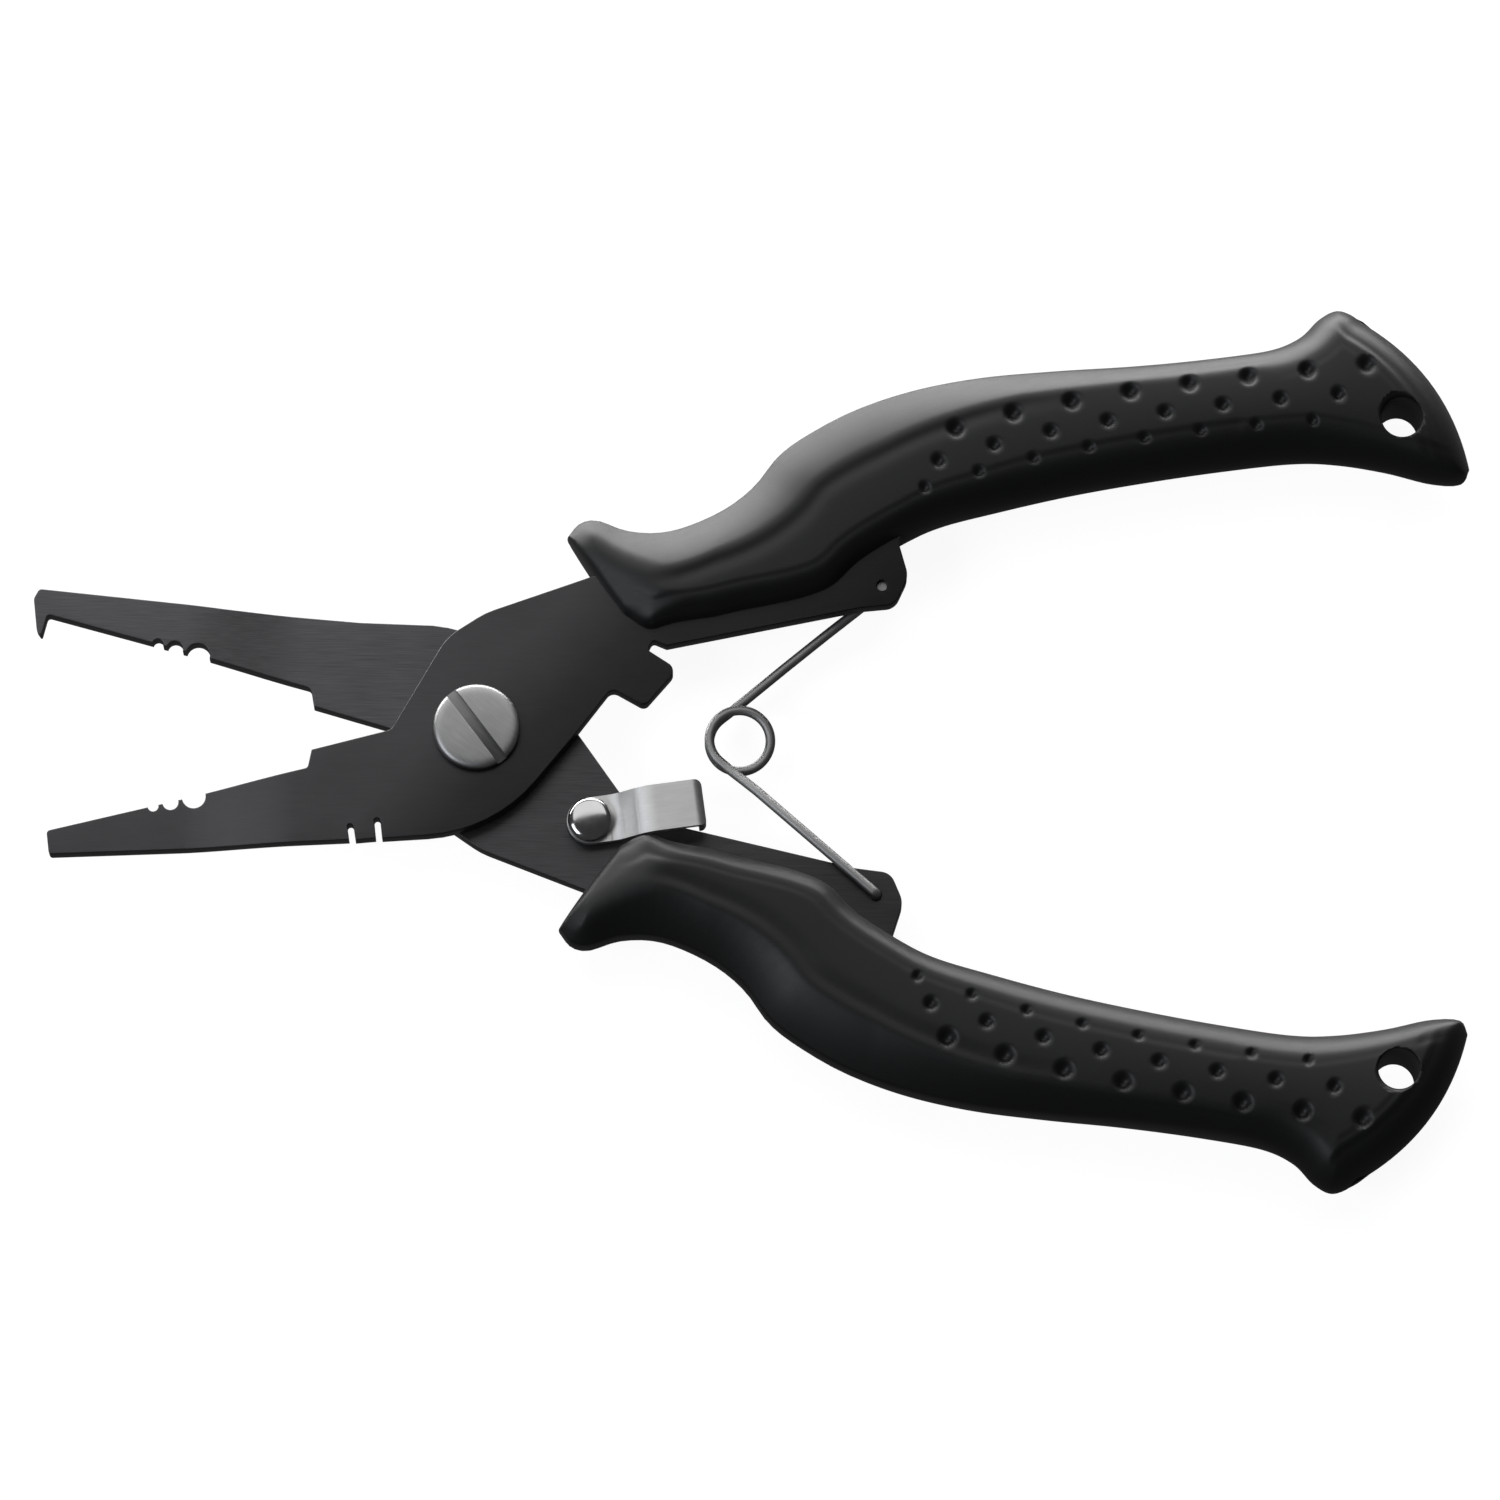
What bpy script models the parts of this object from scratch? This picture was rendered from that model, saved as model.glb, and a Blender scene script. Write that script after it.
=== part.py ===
"""Fishing pliers with a split-ring beak, built piece by piece in Blender.

Two stamped steel blades cross at a slotted screw and are lapped: the front
blade carries the lower jaw and the upper handle, the rear blade is its mirror
image and carries the upper jaw with the beak and the lower handle. A two-leg
torsion spring opens the handles, and a bent lever on the rear blade hooks the
front blade's catch when they are shut. Each handle has a moulded grip.

The pliers lie on their back with the jaws towards -X and the jaws' plane
level. Outlines below are in millimetres from the pivot, X along the tool and
Y across it; the script places them in metres.

Run with: blender --background --python part.py
"""

import math

import bmesh
import bpy
from mathutils import Matrix, Vector

MM = 0.001

# Driving dimensions, in millimetres.
PLATE = 2.5              # thickness of each blade
LAP_GAP = 0.15           # half of the gap between the two lapped blades
GAP = 0.25               # gap between pieces that touch
GRIP_HALF = 5.75         # half thickness of a grip
PIVOT_X = -31.39         # the pivot, from the middle of the tool's length

STEP_X, STEP_Y = -19.3, -5.0      # the step that ends the gripping edge
JAW_SLOPE = 0.257                 # fall of the gripping edge towards the tip
BEND_START, BEND_END = -20.5, -34.0   # the jaw's offset bend
BEND_STEPS = 6

PIVOT_BORE_R = 2.8
PIVOT_SHAFT_R = 2.5
PIVOT_HEAD_R = 5.0
EAR = Vector((46.3, 18.2))        # spring hole in each handle's ear
EAR_HOLE_R = 1.1
LANYARD = Vector((106.1, 38.3))
LANYARD_R = 2.35

RIVET = Vector((13.3, -10.35))    # pivot of the lock lever on the rear blade
RIVET_SHAFT_R = 1.6
RIVET_HEAD_R = 2.6
LEVER_ANGLE = math.radians(8.7)   # lever's rest angle from the X axis
LEVER_WIDTH = 5.4
LEVER_STRIP = 0.9
LEVER_REACH = 13.15               # rivet to the outer face of the hooked tab
LEVER_LOW, LEVER_HIGH = 0.55, 3.0     # back faces of the strip's two levels
RAMP_START, RAMP_END = 2.9, 6.0   # the strip's double bend, from the rivet
TAB_END = 0.4                     # how far back the hooked tab reaches

WIRE_R = 0.525
COIL = Vector((30.3, 0.0))
COIL_R = 3.45
COIL_FRONT, COIL_BACK = -0.62, -2.75  # wire centre at the coil's two ends


def rounded(points, arc_step=math.radians(24)):
    """Returns an outline whose corners (x, y, radius) are true arcs."""
    outline = []
    count = len(points)
    for index, (x, y, radius) in enumerate(points):
        here = Vector((x, y))
        before = Vector(points[index - 1][:2]) - here
        after = Vector(points[(index + 1) % count][:2]) - here
        opening = before.angle(after)
        if radius == 0 or math.pi - opening < 0.02:
            outline.append(here)
            continue
        reach = radius / math.tan(opening / 2)
        reach = min(reach, before.length * 0.49, after.length * 0.49)
        radius = reach * math.tan(opening / 2)
        bisector = (before.normalized() + after.normalized()).normalized()
        centre = here + bisector * (radius / math.sin(opening / 2))
        start = here + before.normalized() * reach - centre
        turn = math.pi - opening
        if before.x * after.y - before.y * after.x > 0:
            turn = -turn
        steps = max(2, round(abs(turn) / arc_step))
        for step in range(steps + 1):
            outline.append(centre + Matrix.Rotation(turn * step / steps, 2) @ start)
    return outline


def arc(centre, radius, start, end, steps):
    """Returns points on an arc from angle start to angle end, in radians."""
    angles = [start + (end - start) * step / steps for step in range(steps + 1)]
    return [centre + radius * Vector((math.cos(a), math.sin(a))) for a in angles]


def grown(outline, distance):
    """Returns the outline moved outwards by distance."""
    count = len(outline)
    area = sum(outline[i - 1].x * outline[i].y - outline[i].x * outline[i - 1].y for i in range(count))
    side = 1 if area > 0 else -1
    moved = []
    for index, here in enumerate(outline):
        before = (here - outline[index - 1]).normalized()
        after = (outline[(index + 1) % count] - here).normalized()
        normal = Vector((before.y + after.y, -before.x - after.x)) * side
        moved.append(here + normal.normalized() * distance)
    return moved


def material(name, colour, roughness, metallic):
    """Creates a plain Principled material."""
    made = bpy.data.materials.new(name)
    made.use_nodes = True
    shader = made.node_tree.nodes["Principled BSDF"]
    shader.inputs["Base Color"].default_value = (*colour, 1.0)
    shader.inputs["Roughness"].default_value = roughness
    shader.inputs["Metallic"].default_value = metallic
    made.diffuse_color = (*colour, 1.0)
    return made


def empty(name, x, y):
    """Creates an axis for moving pieces, at x, y millimetres from the pivot."""
    axis = bpy.data.objects.new(name, None)
    axis.location = ((PIVOT_X + x) * MM, y * MM, GRIP_HALF * MM)
    bpy.context.scene.collection.objects.link(axis)
    return axis


def place(name, mesh_data, axis, finish, origin=Vector((0.0, 0.0))):
    """Makes an object from a bmesh in pivot millimetres and hangs it on its axis."""
    bmesh.ops.translate(mesh_data, verts=mesh_data.verts, vec=(-origin.x, -origin.y, 0))
    bmesh.ops.scale(mesh_data, verts=mesh_data.verts, vec=(MM, MM, MM))
    bmesh.ops.recalc_face_normals(mesh_data, faces=mesh_data.faces)
    mesh = bpy.data.meshes.new(name)
    mesh_data.to_mesh(mesh)
    mesh_data.free()
    mesh.materials.append(finish)
    mesh.shade_smooth()
    mesh.set_sharp_from_angle(angle=math.radians(35))
    made = bpy.data.objects.new(name, mesh)
    made.parent = axis
    bpy.context.scene.collection.objects.link(made)
    return made


def cut(target, cutter):
    """Subtracts a hidden cutter from the target."""
    cutter.hide_render = True
    cutter.display_type = "WIRE"
    modifier = target.modifiers.new(cutter.name, "BOOLEAN")
    modifier.operation = "DIFFERENCE"
    modifier.solver = "EXACT"
    modifier.object = cutter


def prism(outline, low, high):
    """Returns a bmesh prism over an outline, between two heights."""
    solid = bmesh.new()
    face = solid.faces.new([solid.verts.new((p.x, p.y, low)) for p in outline])
    sides = bmesh.ops.extrude_face_region(solid, geom=[face])
    top = [item for item in sides["geom"] if isinstance(item, bmesh.types.BMVert)]
    bmesh.ops.translate(solid, verts=top, vec=(0, 0, high - low))
    return solid


def turned(profile, centre, segments=32):
    """Returns a bmesh turned about the vertical through centre.

    The profile is (radius, height) from top to bottom; a first or last radius
    of zero closes that end, and otherwise the profile is a closed ring.
    """
    solid = bmesh.new()
    rings = []
    for radius, height in profile:
        if radius == 0:
            rings.append([solid.verts.new((centre.x, centre.y, height))])
            continue
        circle = arc(centre, radius, 0, math.tau, segments)[:-1]
        rings.append([solid.verts.new((p.x, p.y, height)) for p in circle])
    closed = profile[0][0] > 0
    pairs = list(zip(rings, rings[1:] + rings[:1])) if closed else list(zip(rings, rings[1:]))
    for upper, lower in pairs:
        for index in range(segments):
            follow = (index + 1) % segments
            ring = [upper[index % len(upper)], lower[index % len(lower)],
                    lower[follow % len(lower)], upper[follow % len(upper)]]
            solid.faces.new(list(dict.fromkeys(ring)))
    return solid


def cylinder_cutter(name, axis, centre, radius, low, high, origin=Vector((0.0, 0.0)), segments=32):
    """Creates a hidden drill along the vertical."""
    solid = turned([(0, high), (radius, high), (radius, low), (0, low)], centre, segments)
    return place(name, solid, axis, bpy.data.materials[0], origin)


def gripping_edge(x):
    """Returns the height of the jaw's gripping edge at x."""
    return STEP_Y + JAW_SLOPE * (x - STEP_X)


def crimp_notches():
    """Returns the half-round crimping notches, from the step towards the tip."""
    tilt = math.atan(JAW_SLOPE)
    edge = []
    for x, radius, steps in ((-32.35, 1.37, 8), (-35.02, 0.92, 6), (-37.0, 0.62, 5)):
        centre = Vector((x, gripping_edge(x)))
        edge += arc(centre, radius, tilt, tilt - math.pi, steps)
    return edge


def sleeve_slots():
    """Returns the two thin slots in the lower jaw's back, from the pivot towards the tip."""
    edge = []
    for x, y, depth in ((-10.95, -13.1, 2.35), (-14.0, -13.35, 1.85)):
        half, lean = 0.42, -0.2
        roof = Vector((x + lean, y + depth - half))
        edge.append(Vector((x + half + 0.05, y)))
        edge += arc(roof, half, 0, math.pi, 4)
        edge.append(Vector((x - half + 0.05, y)))
    return edge


def blade_outline(tip, back, shoulder):
    """Returns a blade's outline, with its jaw towards -Y and its handle towards +Y."""
    cheek = rounded([(0.7, 13.65, 0), (-3.67, 10.71, 7.0), (-9.8, -0.34, 1.2), (-18.9, -2.87, 0.12),
                     (STEP_X, STEP_Y, 0.5), (-30, gripping_edge(-30), 0)])[1:-1]
    nose = rounded([(-40, gripping_edge(-40), 0)] + tip + [(-40, -15.0, 0)])[1:-1]
    heel = rounded([(-14, -13.4, 0), (2.2, -12.05, 20)] + shoulder
                   + [(43.9, 15.05, 1.0), (47.9, 15.5, 1.8), (49.4, 18.9, 2.6), (48.2, 22.9, 1.0),
                      (50.5, 28.3, 4), (62, 31.8, 10), (78, 35.2, 20), (96, 38.2, 2.5),
                      (96.2, 43.2, 2.5), (80, 41.0, 20), (62, 38.6, 15), (50, 35.8, 8),
                      (42, 32.3, 8), (35, 27.0, 8), (28, 22.6, 8), (20, 20.4, 8), (12.4, 18.0, 4),
                      (0.7, 13.65, 9), (-3.67, 10.71, 0)])[1:-1]
    return cheek + crimp_notches() + nose + back + heel


LUG = [(11.8, 0.1, 10), (15.42, 5.03, 1.0), (19.29, 2.94, 0.8), (23.0, 7.4, 1.1),
       (19.46, 9.62, 0.45), (20.03, 10.8, 0.45), (21.65, 10.15, 0.3)]
PLAIN_SHOULDER = [(11.8, 0.1, 10), (18.6, 9.45, 2.0)]
FLAT_TIP = [(-49.15, gripping_edge(-49.15), 0.45), (-48.8, -15.4, 0.4)]
BEAK_TIP = [(-49.85, gripping_edge(-49.85), 0.4), (-50.5, -10.25, 0.15), (-51.05, -11.0, 0.4),
            (-51.5, -14.7, 1.0), (-50.9, -15.85, 0.5)]
BEAK_BACK = [Vector((-29.6, -13.95)), Vector((-13.8, -12.85))]


def mirrored(outline):
    """Returns the outline mirrored across the tool's long axis."""
    return [Vector((p.x, -p.y)) for p in outline]


def bend_jaw(solid, offset):
    """Sets the jaw ahead of the step over by offset, through a smooth double bend."""
    for step in range(BEND_STEPS + 1):
        x = BEND_START + (BEND_END - BEND_START) * step / BEND_STEPS
        geometry = solid.verts[:] + solid.edges[:] + solid.faces[:]
        bmesh.ops.bisect_plane(solid, geom=geometry, plane_co=(x, 0, 0), plane_no=(1, 0, 0))
    for vertex in solid.verts:
        t = min(max((vertex.co.x - BEND_START) / (BEND_END - BEND_START), 0.0), 1.0)
        vertex.co.z += offset * t * t * (3 - 2 * t)


def blade(name, outline, side, axis, finish):
    """Builds one blade on its own side of the lap: side is 1 in front, -1 behind."""
    near, far = side * LAP_GAP, side * (LAP_GAP + PLATE)
    solid = prism(outline, min(near, far), max(near, far))
    bend_jaw(solid, -(near + far) / 2)
    made = place(name, solid, axis, finish)
    cut(made, cylinder_cutter(name + "_pivot_drill", axis, Vector((0, 0)), PIVOT_BORE_R, -6, 6))
    ear = Vector((EAR.x, EAR.y * side))
    cut(made, cylinder_cutter(name + "_ear_drill", axis, ear, EAR_HOLE_R, -6, 6, segments=20))
    return made


# The grip is lofted through stations: a point on its outer edge, a point on
# its inner edge, and how far the station bows towards the tail.
GRIP_STATIONS = [
    (10.3, 23.4, 17.1, 14.4, -0.3), (11.6, 24.75, 19.8, 12.3, 0), (13.4, 25.15, 22.1, 12.4, 0),
    (16.8, 24.0, 24.2, 12.85, 0), (20.6, 23.85, 27.0, 13.3, 0), (24.2, 24.85, 30.2, 14.1, 0),
    (28.2, 26.9, 33.6, 14.85, 0), (31.4, 29.6, 37.4, 15.8, 0), (34.1, 33.2, 40.9, 17.35, 0),
    (37.6, 35.9, 44.0, 20.4, 0), (43.0, 38.9, 48.9, 23.55, 0), (49.8, 41.35, 53.2, 25.6, 0),
    (57.5, 43.0, 59.6, 27.4, 0), (66.0, 43.95, 68.0, 29.5, 0), (75.0, 44.7, 77.0, 31.3, 0),
    (83.5, 45.7, 86.0, 32.8, 0), (90.5, 46.9, 93.8, 33.8, 0), (94.3, 48.6, 99.0, 33.75, 0.3),
    (96.6, 50.9, 104.6, 32.95, 0.9), (98.6, 52.0, 109.8, 31.75, 1.7), (100.3, 51.6, 113.3, 31.75, 2.4),
    (101.8, 50.5, 114.25, 33.3, 2.3)]
# Its section, from the outer edge round the front to the inner edge: the
# share of the width from the outer edge, and the share of the half thickness.
GRIP_SECTION = [(0.0, 0.30), (0.035, 0.52), (0.16, 0.80), (0.36, 1.0), (0.82, 1.0), (0.94, 0.74),
                (1.0, 0.34)]
FRONT_FULLNESS, TAIL_FULLNESS = 0.8, 0.88     # how full the two end stations are
SLOT_START = 8.0                              # the slot follows the blade beyond this


def grip_ring(station, fullness):
    """Returns one station's closed ring of points, in millimetres."""
    outer, inner, bow = Vector(station[:2]), Vector(station[2:4]), station[4]
    across = inner - outer
    along = Vector((-across.y, across.x)).normalized()
    ring = []
    for flip in (1, -1):
        half = [(share, height * flip) for share, height in GRIP_SECTION]
        for share, height in half if flip > 0 else reversed(half):
            flat = outer + across * share + along * (bow * 4 * share * (1 - share))
            ring.append(Vector((flat.x, flat.y, height * GRIP_HALF * fullness)))
    return ring


def grip(name, side, tang, axis, finish):
    """Builds one moulded grip with its slot for the handle and its lanyard hole."""
    solid = bmesh.new()
    rings = []
    last = len(GRIP_STATIONS) - 1
    for index, station in enumerate(GRIP_STATIONS):
        fullness = FRONT_FULLNESS if index == 0 else TAIL_FULLNESS if index == last else 1.0
        rings.append([solid.verts.new((p.x, p.y * side, p.z)) for p in grip_ring(station, fullness)])
    for before, after in zip(rings, rings[1:]):
        for index in range(len(before)):
            follow = (index + 1) % len(before)
            solid.faces.new((before[index], before[follow], after[follow], after[index]))
    for ring in (rings[0], rings[-1]):
        middle = solid.verts.new(sum((vertex.co for vertex in ring), Vector()) / len(ring))
        for index, vertex in enumerate(ring):
            solid.faces.new((ring[index - 1], vertex, middle))
    made = place(name, solid, axis, finish)
    low, high = sorted((side * (LAP_GAP - GAP), side * (LAP_GAP + PLATE + GAP)))
    inside = [point for point in tang if point.x > SLOT_START]
    slot = place(name + "_slot", prism(grown(inside, GAP), low, high), axis, finish)
    cut(made, slot)
    hole = Vector((LANYARD.x, LANYARD.y * side))
    cut(made, cylinder_cutter(name + "_lanyard_drill", axis, hole, LANYARD_R, -9, 9, segments=24))
    return made


def pivot_parts(axis, steel, dark):
    """Builds the slotted pivot screw, and the washer and nut behind the blades."""
    face = LAP_GAP + PLATE
    base = face + GAP
    profile = [(0, base + 1.95), (2.6, base + 1.8), (4.1, base + 1.4), (4.8, base + 0.85),
               (PIVOT_HEAD_R, base + 0.4), (4.95, base), (PIVOT_SHAFT_R, base),
               (PIVOT_SHAFT_R, -GRIP_HALF + 0.35), (0, -GRIP_HALF + 0.35)]
    screw = place("pivot_screw", turned(profile, Vector((0, 0)), 40), axis, steel)
    half = 0.55
    bar = [Vector((-6, -half)), Vector((6, -half)), Vector((6, half)), Vector((-6, half))]
    bar = [Matrix.Rotation(math.radians(-52), 2) @ p for p in bar]
    cut(screw, place("screw_slot", prism(bar, base + 0.95, base + 4), axis, steel))
    bore = PIVOT_SHAFT_R + GAP
    washer_top = -face - GAP
    ring = [(bore, washer_top), (bore, washer_top - 0.5), (4.3, washer_top - 0.5), (4.3, washer_top)]
    place("pivot_washer", turned(ring, Vector((0, 0))), axis, steel)
    nut_top = washer_top - 0.5 - GAP
    nut = place("pivot_nut", prism(arc(Vector((0, 0)), 4.55, 0, math.tau, 6)[:-1],
                                   -GRIP_HALF + 0.35, nut_top), axis, dark)
    cut(nut, cylinder_cutter("nut_thread", axis, Vector((0, 0)), bore, -9, 0))


def rivet_parts(axis, steel):
    """Builds the lever's rivet with the washers in front of and behind the rear blade."""
    face = LEVER_LOW + LEVER_STRIP + GAP
    back = -LAP_GAP - PLATE
    bore = RIVET_SHAFT_R + GAP
    profile = [(0, face + 1.35), (1.3, face + 1.2), (2.1, face + 0.85), (RIVET_HEAD_R, face + 0.35),
               (RIVET_HEAD_R, face), (RIVET_SHAFT_R, face), (RIVET_SHAFT_R, back - 0.85),
               (2.5, back - 0.85), (2.3, back - 1.4), (0, back - 1.6)]
    place("lever_rivet", turned(profile, RIVET, 28), axis, steel)
    thin = [(bore, 0.3), (bore, 0.1), (2.6, 0.1), (2.6, 0.3)]
    place("lever_washer", turned(thin, RIVET, 24), axis, steel)
    top = back - 0.2
    plain = [(bore, top), (bore, top - 0.4), (2.9, top - 0.4), (2.9, top)]
    place("rivet_washer", turned(plain, RIVET, 24), axis, steel)


def lever_profile():
    """Returns the lever's strip seen from its edge: (along, height) points."""
    low, high, strip = LEVER_LOW, LEVER_HIGH, LEVER_STRIP
    return rounded([(-2.75, low + strip, 0), (RAMP_START, low + strip, 1.0),
                    (RAMP_END, high + strip, 1.9), (LEVER_REACH, high + strip, 1.2),
                    (LEVER_REACH, TAB_END, 0.3), (LEVER_REACH - strip, TAB_END, 0.3),
                    (LEVER_REACH - strip, high, 0.25), (RAMP_END, high, 1.0),
                    (RAMP_START, low, 1.9), (-2.75, low, 0)])


def lock_lever(axis, steel):
    """Builds the bent lever that hooks the catch of the front blade."""
    half = LEVER_WIDTH / 2
    solid = bmesh.new()
    face = solid.faces.new([solid.verts.new((p.x, -half, p.y)) for p in lever_profile()])
    swept = bmesh.ops.extrude_face_region(solid, geom=[face])
    moved = [item for item in swept["geom"] if isinstance(item, bmesh.types.BMVert)]
    bmesh.ops.translate(solid, verts=moved, vec=(0, LEVER_WIDTH, 0))
    bmesh.ops.rotate(solid, verts=solid.verts, matrix=Matrix.Rotation(LEVER_ANGLE, 3, "Z"))
    made = place("lock_lever", solid, axis, steel)
    made.location = (0, 0, 0)
    centre = Vector((0, 0))
    plan = arc(centre, half, math.pi / 2, 3 * math.pi / 2, 12)
    plan += [Vector((LEVER_REACH + 1, -half - 0.1)), Vector((LEVER_REACH + 1, half + 0.1))]
    turn = Matrix.Rotation(LEVER_ANGLE, 2)
    trim = place("lever_trim", prism([turn @ p for p in plan], -2, 8), axis, steel)
    trim.hide_render = True
    trim.display_type = "WIRE"
    keep = made.modifiers.new("rounded_end", "BOOLEAN")
    keep.operation = "INTERSECT"
    keep.solver = "EXACT"
    keep.object = trim
    bore = RIVET_SHAFT_R + GAP
    cut(made, cylinder_cutter("lever_drill", axis, centre, bore, -2, 8, segments=24))


def wire(name, route, axis, origin, finish):
    """Builds a round wire along a route of points in millimetres."""
    curve = bpy.data.curves.new(name, "CURVE")
    curve.dimensions = "3D"
    curve.bevel_depth = WIRE_R * MM
    curve.bevel_resolution = 1
    curve.use_fill_caps = True
    spline = curve.splines.new("POLY")
    spline.points.add(len(route) - 1)
    for point, (x, y, z) in zip(spline.points, route):
        point.co = ((x - origin.x) * MM, (y - origin.y) * MM, z * MM, 1)
    curve.materials.append(finish)
    made = bpy.data.objects.new(name, curve)
    made.parent = axis
    bpy.context.scene.collection.objects.link(made)


# The spring's lower leg, from the ear hole to the coil: share of the leg's
# length from the ear, and height of the wire's centre.
LOWER_RISE = [(0.03, 0.65), (0.4, 0.65), (0.76, 0.62), (0.85, 0.05), (0.92, -0.5), (0.98, -0.62)]
UPPER_RISE = [(0.03, -0.8), (0.35, -1.0), (0.6, -1.6), (0.85, -2.55), (0.96, -2.75)]
UPPER_HOOK = Vector((0.07, -0.45))    # the upper hook's place in its ear hole


def leg(ear, tangent, rise):
    """Returns a leg's points from its ear towards the coil."""
    return [(*(ear + (tangent - ear) * share), height) for share, height in rise]


def spring(lower_axis, upper_axis, steel):
    """Builds the torsion spring as a lower arm with the coil, and an upper arm."""
    low_ear = Vector((EAR.x, -EAR.y))
    reach = (low_ear - COIL).length
    open_angle = math.atan2(EAR.y, EAR.x - COIL.x) + math.acos(COIL_R / reach)
    start, end = math.tau - open_angle, open_angle - math.tau
    turns = 34
    ring = arc(COIL, COIL_R, start, end, turns)
    route = [(low_ear.x, low_ear.y, -2.9), (low_ear.x, low_ear.y, 0.2)]
    route += leg(low_ear, ring[0], LOWER_RISE)
    for step, point in enumerate(ring[:-1]):
        route.append((*point, COIL_FRONT + (COIL_BACK - COIL_FRONT) * step / turns))
    wire("spring_lower_arm", route, lower_axis, low_ear, steel)
    hook = EAR + UPPER_HOOK
    route = [(hook.x, hook.y, 2.9), (hook.x, hook.y, -0.3)]
    route += leg(hook, ring[-1], UPPER_RISE)
    route.append((*(ring[-1] + (hook - ring[-1]).normalized() * 0.2), COIL_BACK))
    wire("spring_upper_arm", route, upper_axis, COIL, steel)


def main():
    """Clears the scene and builds the pliers."""
    for old in list(bpy.data.objects):
        bpy.data.objects.remove(old, do_unlink=True)
    black = material("black_coated_steel", (0.045, 0.045, 0.048), 0.38, 0.85)
    rubber = material("black_grip", (0.012, 0.012, 0.013), 0.5, 0.0)
    steel = material("stainless_steel", (0.46, 0.46, 0.45), 0.3, 1.0)
    dark = material("dark_nut_steel", (0.12, 0.12, 0.125), 0.35, 0.9)
    pivot = empty("pivot_axis", 0, 0)
    lever_axis = empty("lever_axis", RIVET.x, RIVET.y)
    lower_axis = empty("spring_lower_axis", EAR.x, -EAR.y)
    upper_axis = empty("spring_coil_axis", COIL.x, COIL.y)
    upper_handle = blade_outline(FLAT_TIP, sleeve_back(), LUG)
    lower_handle = mirrored(blade_outline(BEAK_TIP, BEAK_BACK, PLAIN_SHOULDER))
    blade("front_blade", upper_handle, 1, pivot, black)
    rear = blade("rear_blade", lower_handle, -1, pivot, black)
    cut(rear, cylinder_cutter("rivet_drill", pivot, RIVET, RIVET_SHAFT_R + GAP, -6, 6, segments=24))
    grip("upper_grip", 1, upper_handle, pivot, rubber)
    grip("lower_grip", -1, lower_handle, pivot, rubber)
    pivot_parts(pivot, steel, dark)
    rivet_parts(pivot, steel)
    lock_lever(lever_axis, steel)
    spring(lower_axis, upper_axis, steel)


def sleeve_back():
    """Returns the lower jaw's back edge from the tip to its slots."""
    return [Vector((-33.0, -14.55))] + list(reversed(sleeve_slots()))


if __name__ == "__main__":
    main()
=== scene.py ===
"""Fishing pliers: fine surfaces, finishes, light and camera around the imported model.

The pliers lie on their back with the jaws towards -X. Every class below keeps
its sizes in millimetres from the pivot, with X along the tool, Y across it and
Z up from the plane between the two lapped blades.
"""

from __future__ import annotations

import logging
import math
from dataclasses import dataclass, field
from enum import Enum
from typing import Sequence

import bmesh
import bpy
import numpy as np
from mathutils import Matrix, Vector


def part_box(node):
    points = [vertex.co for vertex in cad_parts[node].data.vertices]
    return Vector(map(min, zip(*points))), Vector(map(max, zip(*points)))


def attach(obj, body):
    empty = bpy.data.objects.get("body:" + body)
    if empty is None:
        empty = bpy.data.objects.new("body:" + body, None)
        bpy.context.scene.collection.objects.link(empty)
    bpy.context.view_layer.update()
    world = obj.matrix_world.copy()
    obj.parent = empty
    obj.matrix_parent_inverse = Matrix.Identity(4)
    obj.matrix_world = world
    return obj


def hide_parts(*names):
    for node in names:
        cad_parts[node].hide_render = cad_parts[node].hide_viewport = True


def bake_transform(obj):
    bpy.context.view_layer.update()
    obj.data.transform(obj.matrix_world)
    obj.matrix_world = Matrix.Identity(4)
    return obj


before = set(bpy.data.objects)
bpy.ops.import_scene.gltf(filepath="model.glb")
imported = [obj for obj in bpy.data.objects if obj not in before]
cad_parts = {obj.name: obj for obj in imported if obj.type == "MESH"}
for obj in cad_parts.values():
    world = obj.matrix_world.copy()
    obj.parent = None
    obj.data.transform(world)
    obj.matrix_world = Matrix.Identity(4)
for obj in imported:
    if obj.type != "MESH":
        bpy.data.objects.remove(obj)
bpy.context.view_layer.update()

MM = 0.001
LOG = logging.getLogger("pliers")
Colour = tuple[float, float, float]
Place = tuple[float, float, float]

# Places in plan, and bores, that more than one part shares.
LEVER_AXIS = (13.3, -10.35)
LEVER_BORE = 1.85
SPRING_EAR = (46.3, 18.2)
# How far the upper ear's hole and the wire's hook in it stand from the ear's place.
UPPER_HOOK = (0.07, -0.45)


def at(x: float, y: float) -> Vector:
    """Returns a dataclass field whose default is the place (x, y) in plan."""
    return field(default_factory=lambda: Vector((x, y)))


def linked(name: str, data: bpy.types.ID) -> bpy.types.Object:
    """Returns a new object for a mesh, light or camera, linked to the scene."""
    made = bpy.data.objects.new(name, data)
    bpy.context.scene.collection.objects.link(made)
    return made


class Body(Enum):
    """The rigid bodies that the pieces ride on."""

    REAR = "rear_half"
    FRONT = "front_half"
    LEVER = "lever"
    SPRING_LOWER = "spring_lower"
    SPRING_UPPER = "spring_upper"


class Side(Enum):
    """The side of the lap, and the sign of the handle's side of the tool."""

    FRONT = 1
    REAR = -1


class Slot(Enum):
    """The finish slots of the record."""

    FRONT_STEEL = "coated_steel_front"
    REAR_STEEL = "coated_steel_rear"
    GRIP = "grip"
    BRIGHT = "bright_steel"
    DARK = "dark_steel"
    LEVER = "brushed_lever"
    WIRE = "spring_wire"


# ---------------------------------------------------------------- shader tools


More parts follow.
